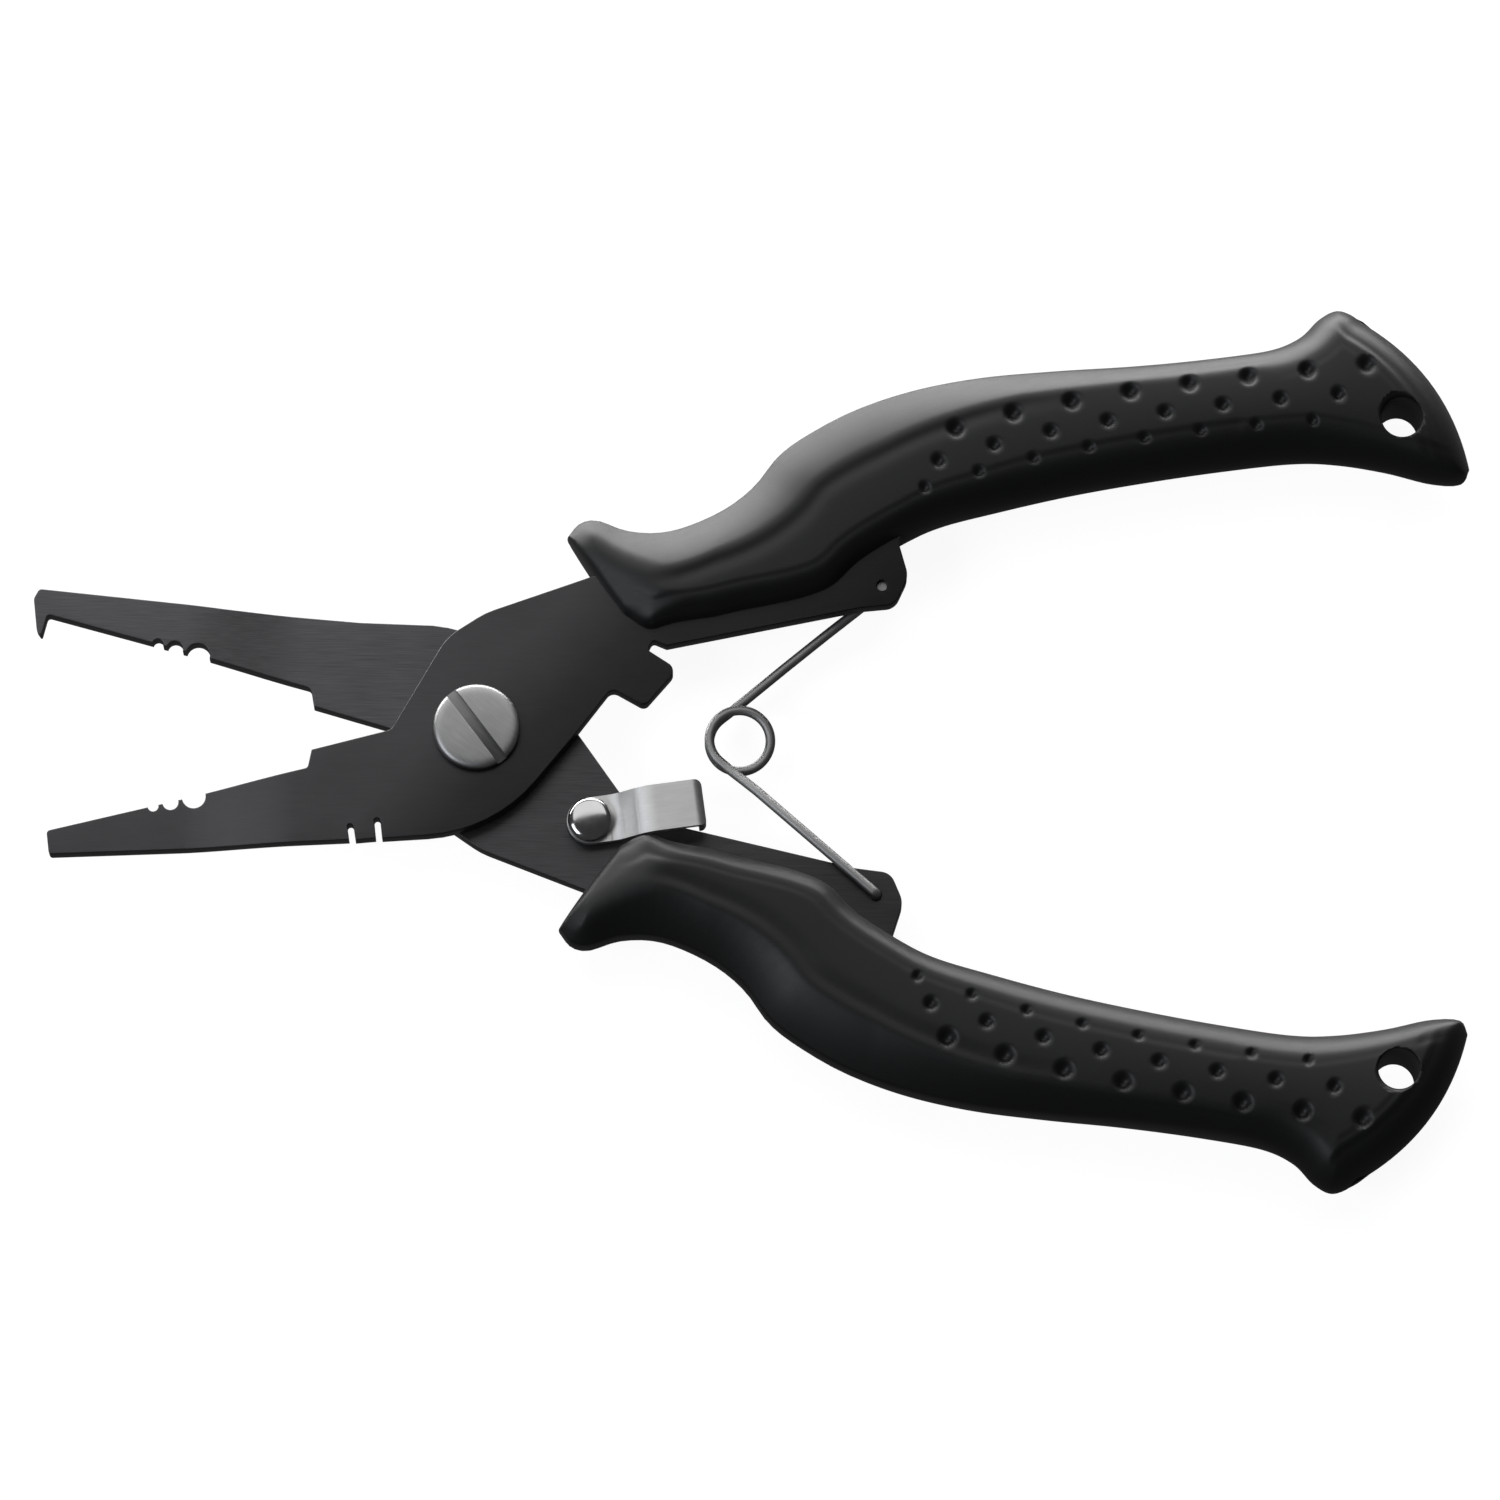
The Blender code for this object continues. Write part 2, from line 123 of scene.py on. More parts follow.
@dataclass(frozen=True)
class Signal:
    """A value that flows through a finish; arithmetic on it adds Math nodes."""

    desk: NodeDesk
    socket: bpy.types.NodeSocket

    def __add__(self, other: Signal | float) -> Signal:
        """Returns self + other."""
        return self.desk.maths("ADD", self, other)

    def __radd__(self, other: float) -> Signal:
        """Returns other + self."""
        return self.desk.maths("ADD", other, self)

    def __sub__(self, other: Signal | float) -> Signal:
        """Returns self - other."""
        return self.desk.maths("SUBTRACT", self, other)

    def __rsub__(self, other: float) -> Signal:
        """Returns other - self."""
        return self.desk.maths("SUBTRACT", other, self)

    def __mul__(self, other: Signal | float) -> Signal:
        """Returns self * other."""
        return self.desk.maths("MULTIPLY", self, other)

    def __rmul__(self, other: float) -> Signal:
        """Returns other * self."""
        return self.desk.maths("MULTIPLY", other, self)

    def __pow__(self, power: float) -> Signal:
        """Returns self ** power."""
        return self.desk.maths("POWER", self, power)

    def __abs__(self) -> Signal:
        """Returns the absolute value."""
        return self.desk.maths("ABSOLUTE", self)

    def clamped(self) -> Signal:
        """Returns the value held between 0 and 1."""
        return self.desk.maths("ADD", self, 0.0, clamp=True)


@dataclass
class NodeDesk:
    """Lays out the nodes of one tree."""

    tree: bpy.types.NodeTree

    def add(self, kind: str, settings: dict | None = None,
            inputs: dict | None = None) -> bpy.types.Node:
        """Adds a node.

        Args:
            kind: The node's type name.
            settings: Properties to set first; "stops" lists a ramp's (position, grey) pairs.
            inputs: Values or signals for its sockets, by name or number.

        Returns:
            The new node.
        """
        node = self.tree.nodes.new(kind)
        for key, value in (settings or {}).items():
            if key == "stops":
                for index, (position, grey) in enumerate(value):
                    made = node.color_ramp.elements
                    stop = made[index] if index < len(made) else made.new(position)
                    stop.position, stop.color = position, (grey, grey, grey, 1.0)
            else:
                setattr(node, key, value)
        for key, value in (inputs or {}).items():
            self.feed(node.inputs[key], value)
        return node

    def feed(self, socket: bpy.types.NodeSocket, value: object) -> None:
        """Links a signal to a socket, or sets the socket's own value.

        Args:
            socket: The input to feed.
            value: A signal, a socket or a plain value.
        """
        if isinstance(value, Signal):
            self.tree.links.new(value.socket, socket)
        elif isinstance(value, bpy.types.NodeSocket):
            self.tree.links.new(value, socket)
        else:
            socket.default_value = value

    def maths(self, operation: str, *values: Signal | float, clamp: bool = False) -> Signal:
        """Adds a Math node.

        Args:
            operation: The node's operation.
            *values: Its inputs in order.
            clamp: Whether the result is held between 0 and 1.

        Returns:
            The result.
        """
        node = self.add("ShaderNodeMath", {"operation": operation, "use_clamp": clamp},
                        dict(enumerate(values)))
        return Signal(self, node.outputs[0])

    def tint(self, factor: Signal, low: Colour, high: Colour) -> Signal:
        """Mixes two colours.

        Args:
            factor: 0 for low and 1 for high.
            low: The first colour.
            high: The second colour.

        Returns:
            The mixed colour.
        """
        node = self.add("ShaderNodeMix", {"data_type": "RGBA"},
                        {0: factor, 6: (*low, 1.0), 7: (*high, 1.0)})
        return Signal(self, node.outputs[2])

    def noise(self, stretch: Place, turn: float = 0.0, detail: float = 2.0) -> Signal:
        """Adds a noise pattern on the piece's own coordinates.

        Args:
            stretch: Waves per metre along each axis.
            turn: How far the pattern is turned about Z, in radians.
            detail: The noise's detail.

        Returns:
            A value around one half.
        """
        place = self.add("ShaderNodeTexCoord").outputs["Object"]
        turned = self.add("ShaderNodeMapping", {"vector_type": "POINT"},
                          {"Vector": place, "Rotation": (0.0, 0.0, turn)})
        scaled = self.add("ShaderNodeMapping", {"vector_type": "POINT"},
                          {"Vector": turned.outputs[0], "Scale": stretch})
        made = self.add("ShaderNodeTexNoise", {"noise_dimensions": "3D"},
                        {"Vector": scaled.outputs[0], "Scale": 1.0, "Detail": detail, "Roughness": 0.55})
        return Signal(self, made.outputs[0])

    def shaded(self, colour: bpy.types.NodeSocket | Signal, direction: Place,
               start: float, end: float, stops: tuple) -> Signal:
        """Paints shade: multiplies a colour by greys that change along one direction of the piece.

        Args:
            colour: The colour.
            direction: The direction of the change.
            start: Where the first grey stands, in metres.
            end: Where the last grey stands, in metres.
            stops: The greys as (share, strength) pairs.

        Returns:
            The changed colour.
        """
        place = self.add("ShaderNodeTexCoord").outputs["Object"]
        along = Signal(self, self.add("ShaderNodeVectorMath", {"operation": "DOT_PRODUCT"},
                                      {0: place, 1: direction}).outputs["Value"])
        share = ((along - start) * (1.0 / (end - start))).clamped()
        grey = self.add("ShaderNodeValToRGB", {"stops": stops}, {0: share})
        node = self.add("ShaderNodeMix", {"data_type": "RGBA", "blend_type": "MULTIPLY"},
                        {0: 1.0, 6: colour, 7: grey.outputs[0]})
        return Signal(self, node.outputs[2])

    @classmethod
    def for_shapes(cls, name: str, inputs: dict[str, str]) -> tuple[NodeDesk, dict[str, str]]:
        """Starts a Geometry Nodes tree.

        Args:
            name: The tree's name.
            inputs: The kind of each named input, besides the geometry.

        Returns:
            The desk, and each input's identifier by its name.
        """
        tree = bpy.data.node_groups.new(name, "GeometryNodeTree")
        face = tree.interface
        face.new_socket("Geometry", in_out="INPUT", socket_type="NodeSocketGeometry")
        face.new_socket("Geometry", in_out="OUTPUT", socket_type="NodeSocketGeometry")
        names = {word: face.new_socket(word, in_out="INPUT", socket_type="NodeSocket" + kind).identifier
                 for word, kind in inputs.items()}
        return cls(tree), names

    def hand_out(self, geometry: bpy.types.NodeSocket, finish: bpy.types.NodeSocket) -> None:
        """Realizes a tree's geometry, gives it its finish and hands it out."""
        whole = self.add("GeometryNodeRealizeInstances", None, {"Geometry": geometry}).outputs[0]
        dressed = self.add("GeometryNodeSetMaterial", None, {"Geometry": whole, "Material": finish})
        self.add("NodeGroupOutput", None, {"Geometry": dressed.outputs[0]})

    def rim(self) -> Signal:
        """Returns 1 on the rounded edges between level faces and upright walls."""
        normal = self.add("ShaderNodeNewGeometry").outputs["True Normal"]
        level = abs(Signal(self, self.add("ShaderNodeSeparateXYZ", None, {0: normal}).outputs["Z"]))
        return (level * (1.0 - level) * 5.0 - 0.35).clamped()

    def bump(self, height: Signal, strength: float, distance: float) -> Signal:
        """Turns a height into a normal.

        Args:
            height: The height pattern.
            strength: The bump's strength.
            distance: The height of a full step, in millimetres.

        Returns:
            The normal.
        """
        node = self.add("ShaderNodeBump", None,
                        {"Strength": strength, "Distance": distance * MM, "Height": height})
        return Signal(self, node.outputs[0])


def new_finish(name: str, **constants: float) -> tuple[bpy.types.Material, NodeDesk, bpy.types.Node]:
    """Starts a Principled material.

    Args:
        name: The material's name.
        **constants: Values of the shader's own sockets, spaces as underscores.

    Returns:
        The material, its node desk and its Principled node.
    """
    made = bpy.data.materials.new(name)
    made.use_nodes = True
    shader = made.node_tree.nodes["Principled BSDF"]
    for key, value in constants.items():
        shader.inputs[key.replace("_", " ")].default_value = value
    return made, NodeDesk(made.node_tree), shader


@dataclass(frozen=True)
class CoatedSteel:
    """Dark coated stamped steel with fine brushing along the tool."""

    name: str
    deep: Colour
    pale: Colour
    roughness: float = 0.36
    turn: float = 0.0
    edge: Colour = (0.11, 0.11, 0.115)
    streak: float = 0.45
    # Painted shade standing in for the reflection falling off: how much darker the coat is painted towards
    # the spring ear, as direction, start, end and (share, strength) pairs.
    painted_shade_falloff: tuple = ((1.0, 0.0, 0.0), -0.046, 0.019, ((0.0, 0.95), (0.5, 0.72), (1.0, 0.42)))

    def material(self) -> bpy.types.Material:
        """Builds the material."""
        made, desk, shader = new_finish(self.name, Metallic=0.9)
        brushing = desk.noise((260.0, 11000.0, 3000.0), self.turn, 3.0)
        cloud = desk.noise((70.0, 90.0, 90.0), self.turn, 2.0)
        mix = (cloud * 0.55 + (brushing - 0.5) * self.streak + 0.125).clamped()
        body = desk.tint(mix, self.deep, self.pale)
        colour = desk.add("ShaderNodeMix", {"data_type": "RGBA"},
                          {0: desk.rim() * 0.4, 6: body, 7: (*self.edge, 1.0)})
        # Painted shade: the colour is multiplied by greys that darken it towards the spring ear, standing in
        # for the reflection falling off there.
        desk.feed(shader.inputs["Base Color"], desk.shaded(colour.outputs[2], *self.painted_shade_falloff))
        desk.feed(shader.inputs["Roughness"], brushing * 0.14 + cloud * 0.06 + (self.roughness - 0.1))
        desk.feed(shader.inputs["Normal"], desk.bump(brushing, 0.35, 0.012))
        return made


@dataclass(frozen=True)
class MouldedGrip:
    """Matt black elastomer with a fine moulded texture."""

    name: str = "moulded_black_grip"
    deep: Colour = (0.0032, 0.0034, 0.0036)
    pale: Colour = (0.0062, 0.0066, 0.0068)
    roughness: float = 0.47

    def material(self) -> bpy.types.Material:
        """Builds the material."""
        made, desk, shader = new_finish(self.name, IOR=1.36, Sheen_Weight=0.03, Sheen_Roughness=0.5)
        grain = desk.noise((4200.0, 4200.0, 4200.0), detail=2.0)
        drag = desk.noise((350.0, 1900.0, 1900.0), math.radians(-24), 2.0)
        cloud = desk.noise((55.0, 55.0, 55.0))
        desk.feed(shader.inputs["Base Color"],
                  desk.tint((cloud * 0.7 + grain * 0.3).clamped(), self.deep, self.pale))
        desk.feed(shader.inputs["Roughness"], grain * 0.12 + drag * 0.08 + (self.roughness - 0.1))
        desk.feed(shader.inputs["Normal"], desk.bump(grain * 0.75 + drag * 0.25, 0.35, 0.02))
        return made


@dataclass(frozen=True)
class BrushedSteel:
    """Bright steel with brushing along one direction, or an even grain."""

    name: str
    deep: Colour
    pale: Colour
    roughness: float = 0.3
    turn: float = 0.0
    grain: tuple[float, float, float] = (350.0, 9000.0, 4000.0)
    # Painted shade in the screw's slot: heights in metres between which the colour is painted darker, down to
    # half at and below the lower height.
    painted_recess_shade: tuple[float, float] | None = None

    def material(self) -> bpy.types.Material:
        """Builds the material."""
        made, desk, shader = new_finish(self.name, Metallic=1.0)
        brushing = desk.noise(self.grain, self.turn, 3.0)
        cloud = desk.noise((260.0, 260.0, 260.0), detail=3.0)
        mix = (brushing * 0.6 + cloud * 0.4 - 0.05).clamped()
        colour = desk.tint(mix, self.deep, self.pale)
        # Painted shade: the screw's slot floor is painted darker, standing in for the shadow in the slot.
        if self.painted_recess_shade:
            colour = desk.shaded(colour, (0.0, 0.0, 1.0), *self.painted_recess_shade, ((0.0, 0.5), (1.0, 1.0)))
        desk.feed(shader.inputs["Base Color"], colour)
        desk.feed(shader.inputs["Roughness"], brushing * 0.16 + (self.roughness - 0.08))
        desk.feed(shader.inputs["Normal"], desk.bump(brushing, 0.3, 0.008))
        return made


# --------------------------------------------------------------- shape tools


def rounded(points: Sequence[Place], arc_step: float = math.radians(6)) -> list[Vector]:
    """Rounds the corners of an outline with true arcs.

    Args:
        points: Corners as (x, y, radius).
        arc_step: The largest turn between two points of an arc.

    Returns:
        The outline's points.
    """
    outline: list[Vector] = []
    count = len(points)
    for index, (x, y, radius) in enumerate(points):
        here = Vector((x, y))
        before = Vector(points[index - 1][:2]) - here
        after = Vector(points[(index + 1) % count][:2]) - here
        opening = before.angle(after)
        if radius == 0 or math.pi - opening < 0.02:
            outline.append(here)
            continue
        reach = min(radius / math.tan(opening / 2), before.length * 0.49, after.length * 0.49)
        radius = reach * math.tan(opening / 2)
        bisector = (before.normalized() + after.normalized()).normalized()
        centre = here + bisector * (radius / math.sin(opening / 2))
        start = here + before.normalized() * reach - centre
        turn = math.pi - opening
        if before.x * after.y - before.y * after.x > 0:
            turn = -turn
        steps = max(2, round(abs(turn) / arc_step))
        outline += [centre + Matrix.Rotation(turn * step / steps, 2) @ start for step in range(steps + 1)]
    return outline


def arc(centre: Vector, radius: float, start: float, end: float, steps: int) -> list[Vector]:
    """Returns points on an arc from angle start to angle end, in radians."""
    angles = [start + (end - start) * step / steps for step in range(steps + 1)]
    return [centre + radius * Vector((math.cos(a), math.sin(a))) for a in angles]


def grown(outline: list[Vector], distance: float) -> list[Vector]:
    """Returns the outline moved outwards by distance."""
    count = len(outline)
    area = sum(outline[i - 1].x * outline[i].y - outline[i].x * outline[i - 1].y for i in range(count))
    side = 1 if area > 0 else -1
    moved = []
    for index, here in enumerate(outline):
        before = (here - outline[index - 1]).normalized()
        after = (outline[(index + 1) % count] - here).normalized()
        normal = Vector((before.y + after.y, -before.x - after.x)) * side
        moved.append(here + normal.normalized() * distance)
    return moved


def turned(profile: Sequence[tuple[float, float]], centre: Vector, segments: int = 96) -> bmesh.types.BMesh:
    """Turns a profile about the vertical through centre.

    Args:
        profile: (radius, height) from top to bottom; it starts and ends at
            radius zero, or else it is a closed ring.
        centre: The axis.
        segments: Steps around the axis.

    Returns:
        The closed solid.
    """
    solid = bmesh.new()
    rings = []
    for radius, height in profile:
        if radius == 0:
            rings.append([solid.verts.new((centre.x, centre.y, height))])
            continue
        circle = arc(centre, radius, 0, math.tau, segments)[:-1]
        rings.append([solid.verts.new((p.x, p.y, height)) for p in circle])
    closing = rings[:1] if profile[0][0] > 0 else []
    for upper, lower in zip(rings, rings[1:] + closing):
        for index in range(segments):
            follow = (index + 1) % segments
            ring = [upper[index % len(upper)], lower[index % len(lower)],
                    lower[follow % len(lower)], upper[follow % len(upper)]]
            solid.faces.new(list(dict.fromkeys(ring)))
    return solid


def edge_levels(low: float, high: float, edge: float, steps: int = 3) -> list[tuple[float, float]]:
    """Returns (inset, height) pairs for a wall with rounded edges, from top to bottom."""
    quarter = [math.pi / 2 * step / steps for step in range(steps + 1)]
    top = [(edge * (1 - math.sin(a)), high - edge * (1 - math.cos(a))) for a in quarter]
    return top + [(inset, low + high - height) for inset, height in reversed(top)]


def washer(outer: float, bore: float, low: float, high: float,
           edge: float) -> list[tuple[float, float]]:
    """Returns a washer's closed profile, with all its edges rounded."""
    wall = edge_levels(low, high, edge)
    return ([(outer - inset, height) for inset, height in wall]
            + [(bore + inset, height) for inset, height in reversed(wall)])


def plate(outline: list[Vector], holes: Sequence[tuple[Vector, float]], low: float, high: float,
          edge: float) -> bmesh.types.BMesh:
    """Builds a flat plate with rounded edges and round holes.

    Args:
        outline: The plate's outer outline.
        holes: Centre and radius of each hole.
        low: Height of the back face.
        high: Height of the front face.
        edge: Radius of the rounded edges.

    Returns:
        The closed solid.
    """
    solid = bmesh.new()
    rims: list[list[bmesh.types.BMEdge]] = [[], []]
    levels = edge_levels(low, high, edge)

    def wall(rings: list[list[Vector]]) -> None:
        """Adds one wall through its rings, from top to bottom."""
        rows = [[solid.verts.new((p.x, p.y, height)) for p in ring]
                for ring, (_, height) in zip(rings, levels)]
        for upper, lower in zip(rows, rows[1:]):
            for index in range(len(upper)):
                solid.faces.new((upper[index - 1], upper[index], lower[index], lower[index - 1]))
        for rim, row in zip(rims, (rows[0], rows[-1])):
            rim += [solid.edges.get((row[index - 1], row[index])) for index in range(len(row))]

    wall([grown(outline, -inset) for inset, _ in levels])
    for centre, radius in holes:
        wall([arc(centre, radius + inset, 0, math.tau, 48)[:-1] for inset, _ in levels])
    for rim in rims:
        bmesh.ops.triangle_fill(solid, edges=rim, use_beauty=True)
    return solid


@dataclass
class Bench:
    """Turns shapes in pivot millimetres into pieces of the assembly."""

    pivot: Vector
    made: list[str] = field(default_factory=list)

    @classmethod
    def from_frame(cls) -> Bench:
        """Finds the pivot from the screw, and the middle plane from a grip."""
        low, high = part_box("pivot_screw")
        back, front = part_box("upper_grip")
        return cls(Vector(((low.x + high.x) / 2, (low.y + high.y) / 2, (back.z + front.z) / 2)))

    def solid(self, name: str, shape: bmesh.types.BMesh, crease: float = 40.0) -> bpy.types.Object:
        """Makes an object from a shape, with its place in its mesh.

        Args:
            name: The object's name.
            shape: The shape in pivot millimetres; it is freed.
            crease: Edges sharper than this many degrees stay sharp.

        Returns:
            The new object.
        """
        bmesh.ops.scale(shape, verts=shape.verts, vec=(MM, MM, MM))
        bmesh.ops.translate(shape, verts=shape.verts, vec=self.pivot)
        bmesh.ops.recalc_face_normals(shape, faces=shape.faces)
        mesh = bpy.data.meshes.new(name)
        shape.to_mesh(mesh)
        shape.free()
        mesh.shade_smooth()
        mesh.set_sharp_from_angle(angle=math.radians(crease))
        return linked(name, mesh)

    def apply(self, piece: bpy.types.Object) -> None:
        """Turns a piece's live modifiers into its plain mesh."""
        evaluated = piece.evaluated_get(bpy.context.evaluated_depsgraph_get())
        mesh = bpy.data.meshes.new_from_object(evaluated)
        piece.modifiers.clear()
        piece.data = mesh

    def cut(self, piece: bpy.types.Object, cutter: bpy.types.Object, operation: str = "DIFFERENCE") -> None:
        """Cuts a piece with a cutter, and removes the cutter.

        Args:
            piece: The piece.
            cutter: The cutting solid.
            operation: The Boolean's operation.
        """
        modifier = piece.modifiers.new("cut", "BOOLEAN")
        modifier.operation, modifier.solver, modifier.object = operation, "EXACT", cutter
        self.apply(piece)
        bpy.data.objects.remove(cutter, do_unlink=True)

    def ease(self, piece: bpy.types.Object, width: float, angle: float = 35.0) -> None:
        """Rounds a piece's sharp edges by width millimetres."""
        modifier = piece.modifiers.new("ease", "BEVEL")
        modifier.width, modifier.segments = width * MM, 2
        modifier.limit_method, modifier.angle_limit = "ANGLE", math.radians(angle)
        modifier.harden_normals = False
        self.apply(piece)
        piece.data.shade_smooth()
        piece.data.set_sharp_from_angle(angle=math.radians(50))

    def level(self, piece: bpy.types.Object, across: Vector | None = None) -> None:
        """Gives level faces their own direction right up to their rounded edges.

        Args:
            piece: A plate-like piece, whose level faces look up or down.
            across: For a bent strip, its width's direction; every face along the strip counts.
        """
        mesh = piece.data
        up = np.zeros((len(mesh.vertices), 3))
        for face in mesh.polygons:
            if abs(face.normal.z) > 0.93 if across is None else abs(face.normal.dot(across)) < 0.2:
                up[list(face.vertices)] += np.array(face.normal) * face.area
        size = np.linalg.norm(up, axis=1, keepdims=True)
        up = np.divide(up, size, out=np.zeros_like(up), where=size > 0)
        corners = np.zeros(len(mesh.loops) * 3)
        mesh.corner_normals.foreach_get("vector", corners)
        corners = corners.reshape(-1, 3)
        vertex = np.zeros(len(mesh.loops), int)
        mesh.loops.foreach_get("vertex_index", vertex)
        held = size[vertex, 0] > 0
        corners[held] = up[vertex[held]]
        mesh.normals_split_custom_set(corners.tolist())

    def fit(self, piece: bpy.types.Object, finish: bpy.types.Material, slot: Slot, body: Body | None,
            *nodes: str) -> None:
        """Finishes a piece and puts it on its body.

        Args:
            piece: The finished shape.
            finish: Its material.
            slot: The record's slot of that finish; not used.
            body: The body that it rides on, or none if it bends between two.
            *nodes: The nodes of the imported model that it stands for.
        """
        piece.data.materials.clear()
        piece.data.materials.append(finish)
        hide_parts(*nodes)
        if body is not None:
            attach(piece, body.value)
        self.made.append(piece.name)
        LOG.info("%s: %d faces", piece.name, len(piece.data.polygons))


# ------------------------------------------------------------------- blades


@dataclass
class Blade:
    """One stamped blade: jaw, pivot plate, tang and spring ear."""

    side: Side
    finish: CoatedSteel
    thickness: float = 2.5
    lap: float = 0.15
    edge: float = 0.11
    step: tuple[float, float] = (-19.3, -5.0)
    slope: float = 0.257
    bend: tuple[float, float] = (-20.5, -34.0)
    bend_cuts: int = 16
    pivot_bore: float = 2.8
    ear: Vector = at(*SPRING_EAR)
    ear_bore: float = 0.62
    upper_hook: Vector = at(*UPPER_HOOK)
    rivet: Vector = at(*LEVER_AXIS)
    rivet_bore: float = LEVER_BORE
    # Place along the jaw and radius of each crimping notch.
    notches: tuple = ((-32.35, 1.37), (-35.02, 0.92), (-37.0, 0.62))
    slot_half: float = 0.36
    # Place along the jaw, height of the mouth, and depth of each thin slot.
    sleeve_slots: tuple = ((-10.95, -13.1, 2.35), (-14.0, -13.35, 1.85))

    def gripping_edge(self, x: float) -> float:
        """Returns the height of the jaw's gripping edge at x."""
        return self.step[1] + self.slope * (x - self.step[0])

    def crimp_notches(self) -> list[Vector]:
        """Returns the half-round crimping notches, from the step towards the tip."""
        tilt = math.atan(self.slope)
        edge = []
        for x, radius in self.notches:
            edge += arc(Vector((x, self.gripping_edge(x))), radius, tilt, tilt - math.pi, 20)
        return edge

    def slotted_back(self) -> list[Vector]:
        """Returns the plain jaw's back edge with its two thin slots."""
        edge = []
        for x, y, depth in self.sleeve_slots:
            half = self.slot_half
            edge.append(Vector((x + half + 0.05, y)))
            edge += arc(Vector((x - 0.2, y + depth - half)), half, 0, math.pi, 12)
            edge.append(Vector((x - half + 0.05, y)))
        return [Vector((-33.0, -14.55))] + edge[::-1]

    def outline(self) -> list[Vector]:
        """Returns the outline, with the jaw towards -Y and the handle towards +Y."""
        jaw = self.gripping_edge
        if self.side is Side.FRONT:
            tip = [(-49.15, jaw(-49.15), 0.45), (-48.8, -15.4, 0.4)]
            back = self.slotted_back()
            shoulder = [(11.8, 0.1, 10), (15.42, 5.03, 1.0), (19.29, 2.94, 0.8), (23.0, 7.4, 1.1),
                        (19.46, 9.62, 0.45), (20.03, 10.8, 0.45), (21.65, 10.15, 0.3)]
        else:
            tip = [(-49.85, jaw(-49.85), 0.4), (-50.5, -10.25, 0.15), (-51.05, -11.0, 0.4),
                   (-51.5, -14.7, 1.0), (-50.9, -15.85, 0.5)]
            back = [Vector((-29.6, -13.95)), Vector((-13.8, -12.85))]
            shoulder = [(11.8, 0.1, 10), (18.6, 9.45, 2.0)]
        cheek = rounded([(0.7, 13.65, 0), (-3.67, 10.71, 7.0), (-9.8, -0.34, 1.2), (-18.9, -2.87, 0.12),
                         (*self.step, 0.5), (-30, jaw(-30), 0)])[1:-1]
        nose = rounded([(-40, jaw(-40), 0)] + tip + [(-40, -15.0, 0)])[1:-1]
        heel = rounded([(-14, -13.4, 0), (2.2, -12.05, 20)] + shoulder
                       + [(43.9, 15.05, 1.0), (47.9, 15.5, 1.8), (49.4, 18.9, 2.6), (48.2, 22.9, 1.0),
                          (50.5, 28.3, 4), (62, 31.8, 10), (78, 35.2, 20), (96, 38.2, 2.5),
                          (96.2, 43.2, 2.5), (80, 41.0, 20), (62, 38.6, 15), (50, 35.8, 8),
                          (42, 32.3, 8), (35, 27.0, 8), (28, 22.6, 8), (20, 20.4, 8), (12.4, 18.0, 4),
                          (0.7, 13.65, 9), (-3.67, 10.71, 0)])[1:-1]
        loop = cheek + self.crimp_notches() + nose + back + heel
        return [Vector((p.x, p.y * self.side.value)) for p in loop]

    def set_over(self, shape: bmesh.types.BMesh, offset: float) -> None:
        """Sets the jaw over to the middle plane, through a smooth double bend.

        Args:
            shape: The flat blade.
            offset: How far the jaw moves up.
        """
        start, end = self.bend
        for cut in range(self.bend_cuts + 1):
            x = start + (end - start) * cut / self.bend_cuts
            geometry = shape.verts[:] + shape.edges[:] + shape.faces[:]
            bmesh.ops.bisect_plane(shape, geom=geometry, plane_co=(x, 0, 0), plane_no=(1, 0, 0))
        for vertex in shape.verts:
            share = min(max((vertex.co.x - start) / (end - start), 0.0), 1.0)
            vertex.co.z += offset * share * share * (3 - 2 * share)

    def build(self, bench: Bench) -> None:
        """Builds the blade and puts it on its body."""
        sign = self.side.value
        near, far = sign * self.lap, sign * (self.lap + self.thickness)
        ear = self.ear + self.upper_hook if self.side is Side.FRONT else Vector((self.ear.x, -self.ear.y))
        holes = [(Vector((0, 0)), self.pivot_bore), (ear, self.ear_bore)]
        if self.side is Side.REAR:
            holes.append((self.rivet, self.rivet_bore))
        shape = plate(self.outline(), holes, min(near, far), max(near, far), self.edge)
        self.set_over(shape, -(near + far) / 2)
        name, body, slot = (("front_blade", Body.FRONT, Slot.FRONT_STEEL) if self.side is Side.FRONT
                            else ("rear_blade", Body.REAR, Slot.REAR_STEEL))
        piece = bench.solid(name + "_fine", shape, 60)
        bench.level(piece)
        bench.fit(piece, self.finish.material(), slot, body, name)


# -------------------------------------------------------------------- grips


@dataclass(frozen=True)
class DimpleRow:
    """A row of round dimples, evenly spaced along a shallow arch."""

    start: tuple[float, float]
    middle: tuple[float, float]
    end: tuple[float, float]
    radius: float
    count: int = 8


